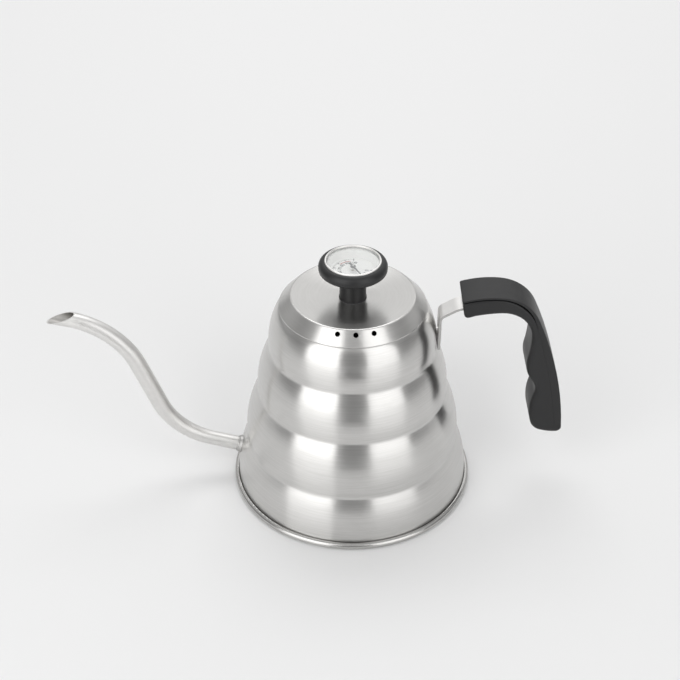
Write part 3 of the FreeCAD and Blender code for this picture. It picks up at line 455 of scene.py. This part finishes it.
def arc_line(start, stops, radius, bits=10):
    """Arcs through the stops: the first bends down with a radius, each next leaves as the last arrived."""
    chord = stops[0] - start
    heading = chord / abs(chord) * rect(1, asin(abs(chord) / 2 / radius))
    line = [start]
    for stop in stops:
        here = line[-1]
        half = phase((stop - here) / heading)
        for bit in range(1, bits + 1):
            share = half * bit / bits
            line.append(here + heading * rect(abs(stop - here) * sin(share) / sin(half), share))
        heading *= rect(1, 2 * half)
    return line


def eased(before, corner, after, reach):
    """Points of a soft corner that starts and ends at a reach from it."""
    start = corner + reach * (before - corner) / abs(before - corner)
    end = corner + reach * (after - corner) / abs(after - corner)
    shares = [step / 6 for step in range(7)]
    return [(1 - part) ** 2 * start + 2 * part * (1 - part) * corner + part ** 2 * end for part in shares]


def moulding(name, edges):
    """A moulding of the grip's width from its side outline, each point with its edge radius and rebate."""
    outline = [point for point, radius, rebate in edges]
    inward = []
    for index, point in enumerate(outline):
        before = point - outline[index - 1]
        after = outline[(index + 1) % len(outline)] - point
        middle = before / abs(before) + after / abs(after)
        square = 1j * middle / abs(middle)
        inward.append(square / max(mitre_least, (square / (1j * before / abs(before))).real))
    rows = []
    for side in (-1, 1):
        turns = [radians(15 * step) for step in range(7)]
        levels = [(0, 0, 1, rebate_depth), (1, 0, 1, rebate_depth)]
        levels += [(1, 1 - cos(turn), 1 - sin(turn), 0) for turn in turns] + [(1, side_lead, 0, 0)]
        for drop, inset, short, deep in levels[::side]:
            row = []
            for (point, radius, rebate), square in zip(edges, inward):
                place = point + square * (rebate * drop + radius * inset)
                row.append((place.real, side * (grip_half - radius * short - deep), place.imag))
            rows.append(row)
    return skin(name, rows, closed=False)


finger_line = arc_line(finger_front, finger_stops, underside_radius)
parting_line = arc_line(parting_front, parting_stops, crown_radius)
cover_line = arc_line(cover_front, cover_stops, crown_radius)
grip_front = eased(parting_front, finger_front, finger_line[1], front_reach)
# The groove is full over the top of the grip, fades over the bend and is gone where the back runs down
fade = [1] * 17 + [0.8, 0.6, 0.4, 0.2] + [0] * 10
groove = [(point, sharp_edge + groove_edge * share, groove_width * share)
          for point, share in zip(parting_line, fade)]
grip = moulding("grip", [groove[0], (0.8 * parting_front + 0.2 * finger_front, front_edge, 0)]
                + [(point, front_corner_edge, 0) for point in grip_front]
                + [(point, finger_edge, 0) for point in finger_line[3:-heel_points]]
                + [(point, edge, 0) for edge, point in zip(heel_edges, finger_line[-heel_points:])]
                + [(heel, heel_edge, 0)] + groove[:0:-1])
recess_turns = [2 * pi * step / 32 for step in range(32)]
for reach, top in screw_places:
    cut(grip, skin("screw_hole", [
        [(reach + screw_recess * cos(turn), screw_recess * sin(turn), height) for turn in recess_turns]
        for height in (recess_foot, top)
    ], closed=False))
cover_nose = eased(cover_line[1], cover_front, parting_front, nose_reach)
cover = moulding("grip_back_strip", [(point, sharp_edge, 0) for point in parting_line]
                 + [(point, cover_edge, 0) for point in [*reversed(cover_line[1:]), *cover_nose]])
# Spark-eroded nylon: a deep, even black whose fine grain breaks each light into a soft grey sheen. The grain
# is about 0.1 mm wide and is drawn 0.6 mm wide, so that it shows.
nylon_grain = 0.0006
nylon_haze = 0.012
nylon, tree = finish_of("nylon_glass_filled_black_moulded")
place = add(tree, "ShaderNodeTexCoord").outputs["Object"]
grain = add(tree, "ShaderNodeTexNoise", {
    "Vector": place, "Scale": 1 / nylon_grain, "Detail": 2.0}).outputs["Fac"]
haze = add(tree, "ShaderNodeTexNoise", {
    "Vector": place, "Scale": 1 / nylon_haze, "Detail": 4.0}).outputs["Fac"]
colour = add(tree, "ShaderNodeMix", {"Factor": haze, "A": linear("#131314"), "B": linear("#1A1A1B")},
             data_type="RGBA")
rough = add(tree, "ShaderNodeMapRange", {"Value": haze, "From Min": 0.3, "From Max": 0.7, "To Min": 0.4,
                                         "To Max": 0.5}).outputs["Result"]
bump = add(tree, "ShaderNodeBump", {"Height": grain, "Strength": 0.2, "Distance": 0.0001}).outputs["Normal"]
plastic = add(tree, "ShaderNodeBsdfPrincipled", {
    "Base Color": colour.outputs["Result"], "Roughness": rough, "Normal": bump, "IOR": 1.53,
    "Specular IOR Level": 0.42})
add(tree, "ShaderNodeOutputMaterial", {"Surface": plastic.outputs[0]})
wear(nylon, grip, cover)
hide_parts("grip_inner")
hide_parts("grip_cover")
for piece in (grip, cover):
    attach(piece, "kettle")
# Screws turned from stainless bar: bright, with uneven tool marks that are drawn coarse, so that they show
tool_mark = 0.0008
turned_steel, tree = finish_of("stainless_turned_fasteners")
place = add(tree, "ShaderNodeTexCoord").outputs["Object"]
marks = add(tree, "ShaderNodeTexNoise", {
    "Vector": place, "Scale": 1 / tool_mark, "Detail": 2.0}).outputs["Fac"]
colour = add(tree, "ShaderNodeMix", {"Factor": marks, "A": linear("#B9B8B5"), "B": linear("#CBCAC7")},
             data_type="RGBA")
rough = add(tree, "ShaderNodeMapRange", {"Value": marks, "From Min": 0.3, "From Max": 0.7, "To Min": 0.2,
                                         "To Max": 0.34}).outputs["Result"]
steel = add(tree, "ShaderNodeBsdfPrincipled", {
    "Base Color": colour.outputs["Result"], "Metallic": 1.0, "Roughness": rough})
add(tree, "ShaderNodeOutputMaterial", {"Surface": steel.outputs[0]})
wear(turned_steel, nodes["grip_screws"])

# Lid: pressed stainless cover with a chamfered side and three vents, spot-welded to a skirt that centres it
# in the neck. It is brushed on the lathe as the shell is, but finer, so its hairlines are shallower.
lid_brushed = lathe_brushed("stainless_18_8_lathe_brushed_fine", 0.006, "#C9C8C6", "#D0CFCD")
wear(lid_brushed, nodes["lid_shell"], nodes["lid_skirt"])

# Knob: black phenolic moulding over a hollow brass stud, clamped to the lid by a washer and a nut below,
# with a silicone seal under its stem. The phenolic is matt and a little darker than the nylon of the grip,
# and its grain is drawn coarse for the same reason.
knob_haze = 0.008
knob_grain = 0.0007
phenolic, tree = finish_of("phenolic_black_moulded")
place = add(tree, "ShaderNodeTexCoord").outputs["Object"]
haze = add(tree, "ShaderNodeTexNoise", {
    "Vector": place, "Scale": 1 / knob_haze, "Detail": 4.0}).outputs["Fac"]
grain = add(tree, "ShaderNodeTexNoise", {
    "Vector": place, "Scale": 1 / knob_grain, "Detail": 2.0}).outputs["Fac"]
colour = add(tree, "ShaderNodeMix", {"Factor": haze, "A": linear("#101011"), "B": linear("#151516")},
             data_type="RGBA")
rough = add(tree, "ShaderNodeMapRange", {"Value": haze, "From Min": 0.3, "From Max": 0.7, "To Min": 0.4,
                                         "To Max": 0.5}).outputs["Result"]
bump = add(tree, "ShaderNodeBump", {"Height": grain, "Strength": 0.15, "Distance": 0.0001}).outputs["Normal"]
plastic = add(tree, "ShaderNodeBsdfPrincipled", {
    "Base Color": colour.outputs["Result"], "Roughness": rough, "Normal": bump, "IOR": 1.55})
add(tree, "ShaderNodeOutputMaterial", {"Surface": plastic.outputs[0]})
wear(phenolic, nodes["knob"])
wear(turned_steel, nodes["lid_washer"], nodes["lid_nut"])
# Silicone rubber: dark grey and dull, with hardly a light on it
rubber_haze = 0.003
silicone, tree = finish_of("silicone_rubber_black")
place = add(tree, "ShaderNodeTexCoord").outputs["Object"]
haze = add(tree, "ShaderNodeTexNoise", {
    "Vector": place, "Scale": 1 / rubber_haze, "Detail": 3.0}).outputs["Fac"]
colour = add(tree, "ShaderNodeMix", {"Factor": haze, "A": linear("#3A3A3B"), "B": linear("#464647")},
             data_type="RGBA")
rough = add(tree, "ShaderNodeMapRange", {"Value": haze, "To Min": 0.6, "To Max": 0.75}).outputs["Result"]
rubber = add(tree, "ShaderNodeBsdfPrincipled", {
    "Base Color": colour.outputs["Result"], "Roughness": rough, "IOR": 1.41})
add(tree, "ShaderNodeOutputMaterial", {"Surface": rubber.outputs[0]})
wear(silicone, nodes["knob_seal"])
# Turned brass: warm yellow metal with the same tool marks as the screws
brass, tree = finish_of("brass_turned")
place = add(tree, "ShaderNodeTexCoord").outputs["Object"]
marks = add(tree, "ShaderNodeTexNoise", {
    "Vector": place, "Scale": 1 / tool_mark, "Detail": 2.0}).outputs["Fac"]
colour = add(tree, "ShaderNodeMix", {"Factor": marks, "A": linear("#C9A55A"), "B": linear("#D8B86E")},
             data_type="RGBA")
rough = add(tree, "ShaderNodeMapRange", {"Value": marks, "To Min": 0.2, "To Max": 0.36}).outputs["Result"]
metal = add(tree, "ShaderNodeBsdfPrincipled", {
    "Base Color": colour.outputs["Result"], "Metallic": 1.0, "Roughness": rough})
add(tree, "ShaderNodeOutputMaterial", {"Surface": metal.outputs[0]})
wear(brass, nodes["knob_stud"], nodes["spindle_bush"])

# Thermometer: steel case let into the knob, an enamelled dial under a glass window, a crimped bezel, and a
# closed steel tube that hangs into the water with the bimetal helix in it. Case and tube are polished to
# clear, slightly hazy lights, and the bezel is bead-blasted to an even pale grey.
polish_haze = 0.004
polished, tree = finish_of("stainless_polished")
place = add(tree, "ShaderNodeTexCoord").outputs["Object"]
haze = add(tree, "ShaderNodeTexNoise", {
    "Vector": place, "Scale": 1 / polish_haze, "Detail": 4.0}).outputs["Fac"]
colour = add(tree, "ShaderNodeMix", {"Factor": haze, "A": linear("#D9D8D6"), "B": linear("#E4E3E1")},
             data_type="RGBA")
rough = add(tree, "ShaderNodeMapRange", {"Value": haze, "From Min": 0.3, "From Max": 0.7, "To Min": 0.2,
                                         "To Max": 0.28}).outputs["Result"]
metal = add(tree, "ShaderNodeBsdfPrincipled", {
    "Base Color": colour.outputs["Result"], "Metallic": 1.0, "Roughness": rough})
add(tree, "ShaderNodeOutputMaterial", {"Surface": metal.outputs[0]})
wear(polished, nodes["gauge_case"], nodes["probe_tube"], nodes["probe_plug"], nodes["spindle"])
blasted = satin("stainless_bead_blasted_bezel", "#ECEBE9", "#F2F1EF", 0.46, 0.54)
wear(blasted, nodes["gauge_bezel"])
# Stove enamel: a clean white with a soft gloss
enamel_haze = 0.005
enamel, tree = finish_of("stove_enamel_white")
place = add(tree, "ShaderNodeTexCoord").outputs["Object"]
haze = add(tree, "ShaderNodeTexNoise", {
    "Vector": place, "Scale": 1 / enamel_haze, "Detail": 3.0}).outputs["Fac"]
colour = add(tree, "ShaderNodeMix", {"Factor": haze, "A": linear("#F6F6F4"), "B": linear("#FAFAF8")},
             data_type="RGBA")
rough = add(tree, "ShaderNodeMapRange", {"Value": haze, "To Min": 0.35, "To Max": 0.45}).outputs["Result"]
paint = add(tree, "ShaderNodeBsdfPrincipled", {"Base Color": colour.outputs["Result"], "Roughness": rough})
add(tree, "ShaderNodeOutputMaterial", {"Surface": paint.outputs[0]})
wear(enamel, nodes["dial_face"])

# Print on the dial: ticks every 2 degrees with long ones every 10, the numbers of the tens, and a red band
# over the best brewing heat. The ink is screen-printed on the enamel, and drawn as flat pieces 0.02 mm over
# it. Both inks are matt, with specks of the screen's mesh that are drawn coarse, so that they show.
ink_lift = 0.02
print_height = 1000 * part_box("dial_face")[1][2] + ink_lift
first_mark = -2.6
turn_per_degree = 2.7
tick_outer = 11.6
long_tick = (9.6, 0.26)
short_tick = (10.6, 0.16)
band_inner = 8.8
band_outer = 9.5
band_heats = range(80, 96)
number_radius = 7.4
number_size = 2.8
number_weight = 0.06
screen_mesh = 0.0005


def printed(name, faces, ink):
    """Flat ink on the dial from faces given as corners in millimetres."""
    mesh = bpy.data.meshes.new(name)
    corners = [(0.001 * x, 0.001 * y, 0.001 * print_height) for face in faces for x, y in face]
    starts = [sum(len(face) for face in faces[:index]) for index in range(len(faces))]
    loops = [tuple(range(start, start + len(face))) for start, face in zip(starts, faces)]
    mesh.from_pydata(corners, [], loops)
    piece = bpy.data.objects.new(name, mesh)
    bpy.context.scene.collection.objects.link(piece)
    wear(ink, piece)
    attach(piece, "lid")


def on_dial(radius, heat, aside=0.0):
    """Place on the dial at a radius, by the heat it marks, moved aside by some millimetres."""
    turn = radians(first_mark - turn_per_degree * heat)
    return (radius * cos(turn) - aside * sin(turn), radius * sin(turn) + aside * cos(turn))


inks = []
for shade, dark, light in (("black", "#1D1D1F", "#2C2B2E"), ("red", "#A84A4A", "#B95E60")):
    ink, tree = finish_of(f"screen_ink_{shade}")
    place = add(tree, "ShaderNodeTexCoord").outputs["Object"]
    speck = add(tree, "ShaderNodeTexNoise", {"Vector": place, "Scale": 1 / screen_mesh,
                                             "Detail": 2.0}).outputs["Fac"]
    colour = add(tree, "ShaderNodeMix", {"Factor": speck, "A": linear(dark), "B": linear(light)},
                 data_type="RGBA")
    film = add(tree, "ShaderNodeBsdfPrincipled", {"Base Color": colour.outputs["Result"], "Roughness": 0.5})
    add(tree, "ShaderNodeOutputMaterial", {"Surface": film.outputs[0]})
    inks.append(ink)
black_ink, red_ink = inks
ticks = []
for heat in range(0, 101, 2):
    inner, half = long_tick if heat % 10 == 0 else short_tick
    ticks.append([on_dial(inner, heat, -half), on_dial(tick_outer, heat, -half),
                  on_dial(tick_outer, heat, half), on_dial(inner, heat, half)])
printed("dial_ticks", ticks, black_ink)
printed("dial_heat_band", [
    [on_dial(band_inner, heat), on_dial(band_outer, heat), on_dial(band_outer, heat + 1),
     on_dial(band_inner, heat + 1)]
    for heat in band_heats
], red_ink)
numbers = []
for heat in range(0, 101, 10):
    text = bpy.data.curves.new("number", "FONT")
    text.body = str(heat)
    text.size = number_size
    text.offset = number_weight
    text.align_x = "CENTER"
    text.align_y = "CENTER"
    letters = bpy.data.objects.new("number", text)
    bpy.context.scene.collection.objects.link(letters)
    bpy.context.view_layer.update()
    graph = bpy.context.evaluated_depsgraph_get()
    drawn_text = bpy.data.meshes.new_from_object(letters.evaluated_get(graph))
    spot = Vector(on_dial(number_radius, heat))
    tilt = Matrix.Rotation(radians(first_mark - turn_per_degree * heat - 90), 2)
    for face in drawn_text.polygons:
        flat_corners = [drawn_text.vertices[corner].co.to_2d() for corner in face.vertices]
        numbers.append([tuple(spot + tilt @ corner) for corner in flat_corners])
    bpy.data.objects.remove(letters)
    bpy.data.curves.remove(text)
    bpy.data.meshes.remove(drawn_text)
printed("dial_numbers", numbers, black_ink)

# Spacer, gasket and window: a white ABS ring stands on the dial, a clear silicone ring on it seals the
# window, and the window is a disc of soda-lime glass under the crimped bezel. Both rings are nearly as pale
# as the dial, so its edge hardly shows.
seal_haze = 0.002
for name, node, index, level, dark, light in (
        ("abs_white_moulded", "dial_ring", 1.54, 0.45, "#F6F6F4", "#FAFAF8"),
        ("silicone_rubber_clear", "lens_gasket", 1.41, 0.5, "#F2F2F0", "#F7F7F5")):
    pale, tree = finish_of(name)
    place = add(tree, "ShaderNodeTexCoord").outputs["Object"]
    haze = add(tree, "ShaderNodeTexNoise", {
        "Vector": place, "Scale": 1 / seal_haze, "Detail": 3.0}).outputs["Fac"]
    colour = add(tree, "ShaderNodeMix", {"Factor": haze, "A": linear(dark), "B": linear(light)},
                 data_type="RGBA")
    body = add(tree, "ShaderNodeBsdfPrincipled", {
        "Base Color": colour.outputs["Result"], "Roughness": level, "IOR": index})
    add(tree, "ShaderNodeOutputMaterial", {"Surface": body.outputs[0]})
    wear(pale, nodes[node])
# Window glass: clear, with a thin veil of wiped-on haze that pales the print
smear_width = 0.006
glass_veil = 0.17
glass, tree = finish_of("soda_lime_glass_window")
place = add(tree, "ShaderNodeTexCoord").outputs["Object"]
smear = add(tree, "ShaderNodeTexNoise", {
    "Vector": place, "Scale": 1 / smear_width, "Detail": 3.0}).outputs["Fac"]
rough = add(tree, "ShaderNodeMapRange", {"Value": smear, "To Min": 0.01, "To Max": 0.05}).outputs["Result"]
pane = add(tree, "ShaderNodeBsdfPrincipled", {
    "Base Color": linear("#F2F4F4"), "Roughness": rough, "IOR": 1.52, "Alpha": glass_veil})
add(tree, "ShaderNodeOutputMaterial", {"Surface": pane.outputs[0]})
wear(glass, nodes["gauge_lens"])

# Helix and needle: a strip of rolled bimetal wound round the spindle, and a stamped needle pressed on its
# top. The bimetal is a stained straw colour, and the needle is lacquered matt black.
strip_stain = 0.002
bimetal, tree = finish_of("bimetal_rolled_strip")
place = add(tree, "ShaderNodeTexCoord").outputs["Object"]
stain = add(tree, "ShaderNodeTexNoise", {
    "Vector": place, "Scale": 1 / strip_stain, "Detail": 3.0}).outputs["Fac"]
colour = add(tree, "ShaderNodeMix", {"Factor": stain, "A": linear("#A88F66"), "B": linear("#C2AE88")},
             data_type="RGBA")
metal = add(tree, "ShaderNodeBsdfPrincipled", {
    "Base Color": colour.outputs["Result"], "Metallic": 1.0, "Roughness": 0.35})
add(tree, "ShaderNodeOutputMaterial", {"Surface": metal.outputs[0]})
wear(bimetal, nodes["bimetal_coil"])
lacquer_haze = 0.002
lacquer, tree = finish_of("lacquer_black_matt")
place = add(tree, "ShaderNodeTexCoord").outputs["Object"]
haze = add(tree, "ShaderNodeTexNoise", {
    "Vector": place, "Scale": 1 / lacquer_haze, "Detail": 3.0}).outputs["Fac"]
colour = add(tree, "ShaderNodeMix", {"Factor": haze, "A": linear("#19191A"), "B": linear("#232324")},
             data_type="RGBA")
paint = add(tree, "ShaderNodeBsdfPrincipled", {"Base Color": colour.outputs["Result"], "Roughness": 0.5})
add(tree, "ShaderNodeOutputMaterial", {"Surface": paint.outputs[0]})
wear(lacquer, nodes["pointer"])

# Floor: a wide sheet of pale backdrop paper, just under the foot of the kettle. The paper is graded a
# little lighter towards the back, where less light falls, so that it looks one even grey.
floor_half = 12
floor_drop = 0.0002
grade_front = -0.2
grade_back = 0.8
floor_mesh = bpy.data.meshes.new("floor")
floor_corners = [(-floor_half, -floor_half, 0), (floor_half, -floor_half, 0),
                 (floor_half, floor_half, 0), (-floor_half, floor_half, 0)]
floor_mesh.from_pydata(floor_corners, [], [(0, 1, 2, 3)])
floor = bpy.data.objects.new("floor", floor_mesh)
floor.location.z = -floor_drop
bpy.context.scene.collection.objects.link(floor)
paper, tree = finish_of("paper_pale_grey")
place = add(tree, "ShaderNodeTexCoord").outputs["Object"]
depth = add(tree, "ShaderNodeSeparateXYZ", {0: place}).outputs["Y"]
grade = add(tree, "ShaderNodeMapRange", {"Value": depth, "From Min": grade_front,
                                         "From Max": grade_back}).outputs["Result"]
colour = add(tree, "ShaderNodeMix", {"Factor": grade, "A": linear("#E8E8E8"), "B": linear("#F6F6F6")},
             data_type="RGBA")
sheet = add(tree, "ShaderNodeBsdfPrincipled", {
    "Base Color": colour.outputs["Result"], "Roughness": 0.9, "Specular IOR Level": 0.1})
add(tree, "ShaderNodeOutputMaterial", {"Surface": sheet.outputs[0]})
wear(paper, floor)

# Cards: a black one lies between the softboxes and darkens the strip between their two reflections in the
# steel, and a white laminated one lies before each softbox and carries its reflection down the tiers. They
# are staging: only reflections show them.
card_fibre = 0.01
white_lift = 0.0004
black_lift = 0.0008


def card(name, corners, lift, board):
    """A flat card on the floor that only reflections show."""
    mesh = bpy.data.meshes.new(name)
    mesh.from_pydata([(x, y, 0) for x, y in corners], [], [(0, 1, 2, 3)])
    piece = bpy.data.objects.new(name, mesh)
    piece.location.z = lift
    piece.visible_camera = False
    piece.visible_diffuse = False
    piece.visible_shadow = False
    bpy.context.scene.collection.objects.link(piece)
    wear(board, piece)


boards = []
for name, dark, light, level in (("card_black", "#363636", "#3C3C3C", 0.9),
                                 ("card_white_laminated", "#FAFAFA", "#FCFCFC", 0.3)):
    board, tree = finish_of(name)
    place = add(tree, "ShaderNodeTexCoord").outputs["Object"]
    fibre = add(tree, "ShaderNodeTexNoise", {"Vector": place, "Scale": 1 / card_fibre,
                                             "Detail": 2.0}).outputs["Fac"]
    colour = add(tree, "ShaderNodeMix", {"Factor": fibre, "A": linear(dark), "B": linear(light)},
                 data_type="RGBA")
    sheet = add(tree, "ShaderNodeBsdfPrincipled", {
        "Base Color": colour.outputs["Result"], "Roughness": level})
    add(tree, "ShaderNodeOutputMaterial", {"Surface": sheet.outputs[0]})
    boards.append(board)
black_board, white_board = boards
card("black_card", [(-0.11, -0.95), (0.11, -0.95), (0.11, -0.31), (-0.11, -0.31)], black_lift, black_board)
card("white_card_left", [(-0.01, -0.06), (-0.03, -0.053), (-0.91, -0.52), (-0.30, -1.0)],
     white_lift, white_board)
card("white_card_right", [(0.045, -0.175), (0.30, -1.0), (0.91, -0.52), (0.136, -0.11)],
     white_lift, white_board)

# Softboxes: two tall ones stand a metre away, in front on the left and on the right, and give the steel its
# two broad upright lights. A third hangs behind and above, and lights the lid and the floor.
front_tall = 1.6
front_height = 0.83
over_place = Vector((0, 0.95, 1.75))
over_target = Vector((0, 0.6, 0))


def softbox(name, width, tall, power, place):
    """A rectangular lamp of a width, a height and a power in watts."""
    lamp = bpy.data.lights.new(name, "AREA")
    lamp.shape = "RECTANGLE"
    lamp.size = width
    lamp.size_y = tall
    lamp.energy = power
    box = bpy.data.objects.new(name, lamp)
    box.location = place
    bpy.context.scene.collection.objects.link(box)
    return box


for side, turn, width, power in (("left", -39.6, 0.83, 7.9), ("right", 39, 0.77, 5.5)):
    place = (sin(radians(turn)), -cos(radians(turn)), front_height)
    box = softbox(f"softbox_{side}", width, front_tall, power, place)
    box.rotation_euler = (radians(90), 0, radians(turn))
box = softbox("softbox_over", 1.4, 0.8, 9.0, over_place)
box.rotation_euler = (over_target - over_place).to_track_quat("-Z", "Y").to_euler()

# Surround: the walls and ceiling of the studio. The wall behind the kettle is pale, brighter on the right
# and darker near the floor, the room behind the camera is dim, and the ceiling lies between the two.
wall_left = 0.86
wall_right = 1.12
wall_low = 0.3
room_low = 0.27
room_high = 0.55
ceiling = 0.62
world = bpy.data.worlds.new("studio")
bpy.context.scene.world = world
world.use_nodes = True
tree = world.node_tree
tree.nodes.clear()
# The changes run between directions, which are written as parts of a unit vector
way = add(tree, "ShaderNodeSeparateXYZ", {0: add(tree, "ShaderNodeTexCoord").outputs["Generated"]})
drift = add(tree, "ShaderNodeMapRange", {"Value": way.outputs["X"], "From Min": -0.4, "From Max": 0.4,
                                         "To Min": wall_left, "To Max": wall_right}).outputs["Result"]
far = add(tree, "ShaderNodeMapRange", {"Value": way.outputs["Z"], "From Min": 0.1, "From Max": 0.35,
                                       "To Min": wall_low, "To Max": drift}).outputs["Result"]
near = add(tree, "ShaderNodeMapRange", {"Value": way.outputs["Z"], "From Min": 0.45, "From Max": 0.75,
                                        "To Min": room_low, "To Max": room_high}).outputs["Result"]
back = add(tree, "ShaderNodeMapRange", {"Value": way.outputs["Y"], "From Min": 0.0, "From Max": 0.8,
                                        "To Min": near, "To Max": far}).outputs["Result"]
height = add(tree, "ShaderNodeMapRange", {"Value": way.outputs["Z"], "From Min": 0.6,
                                          "From Max": 0.85}).outputs["Result"]
level = add(tree, "ShaderNodeMix", {"Factor": height, "A": back, "B": ceiling}).outputs["Result"]
glow = add(tree, "ShaderNodeBackground", {"Color": (1, 1, 1, 1), "Strength": level})
add(tree, "ShaderNodeOutputWorld", {"Surface": glow.outputs[0]})

# Camera: a short telephoto lens in front of the kettle, looking down at about 36 degrees. The plain view
# transform passes the shades on unchanged.
eye_place = Vector((-0.0072, -0.5829, 0.5243))
eye_target = Vector((-0.0072, 0, 0.0977))
eye = bpy.data.cameras.new("camera")
eye.lens = 66.4
eye.sensor_width = 36
camera = bpy.data.objects.new("camera", eye)
camera.location = eye_place
camera.rotation_euler = (eye_target - eye_place).to_track_quat("-Z", "Y").to_euler()
bpy.context.scene.collection.objects.link(camera)
bpy.context.scene.camera = camera
bpy.context.scene.view_settings.view_transform = "Standard"
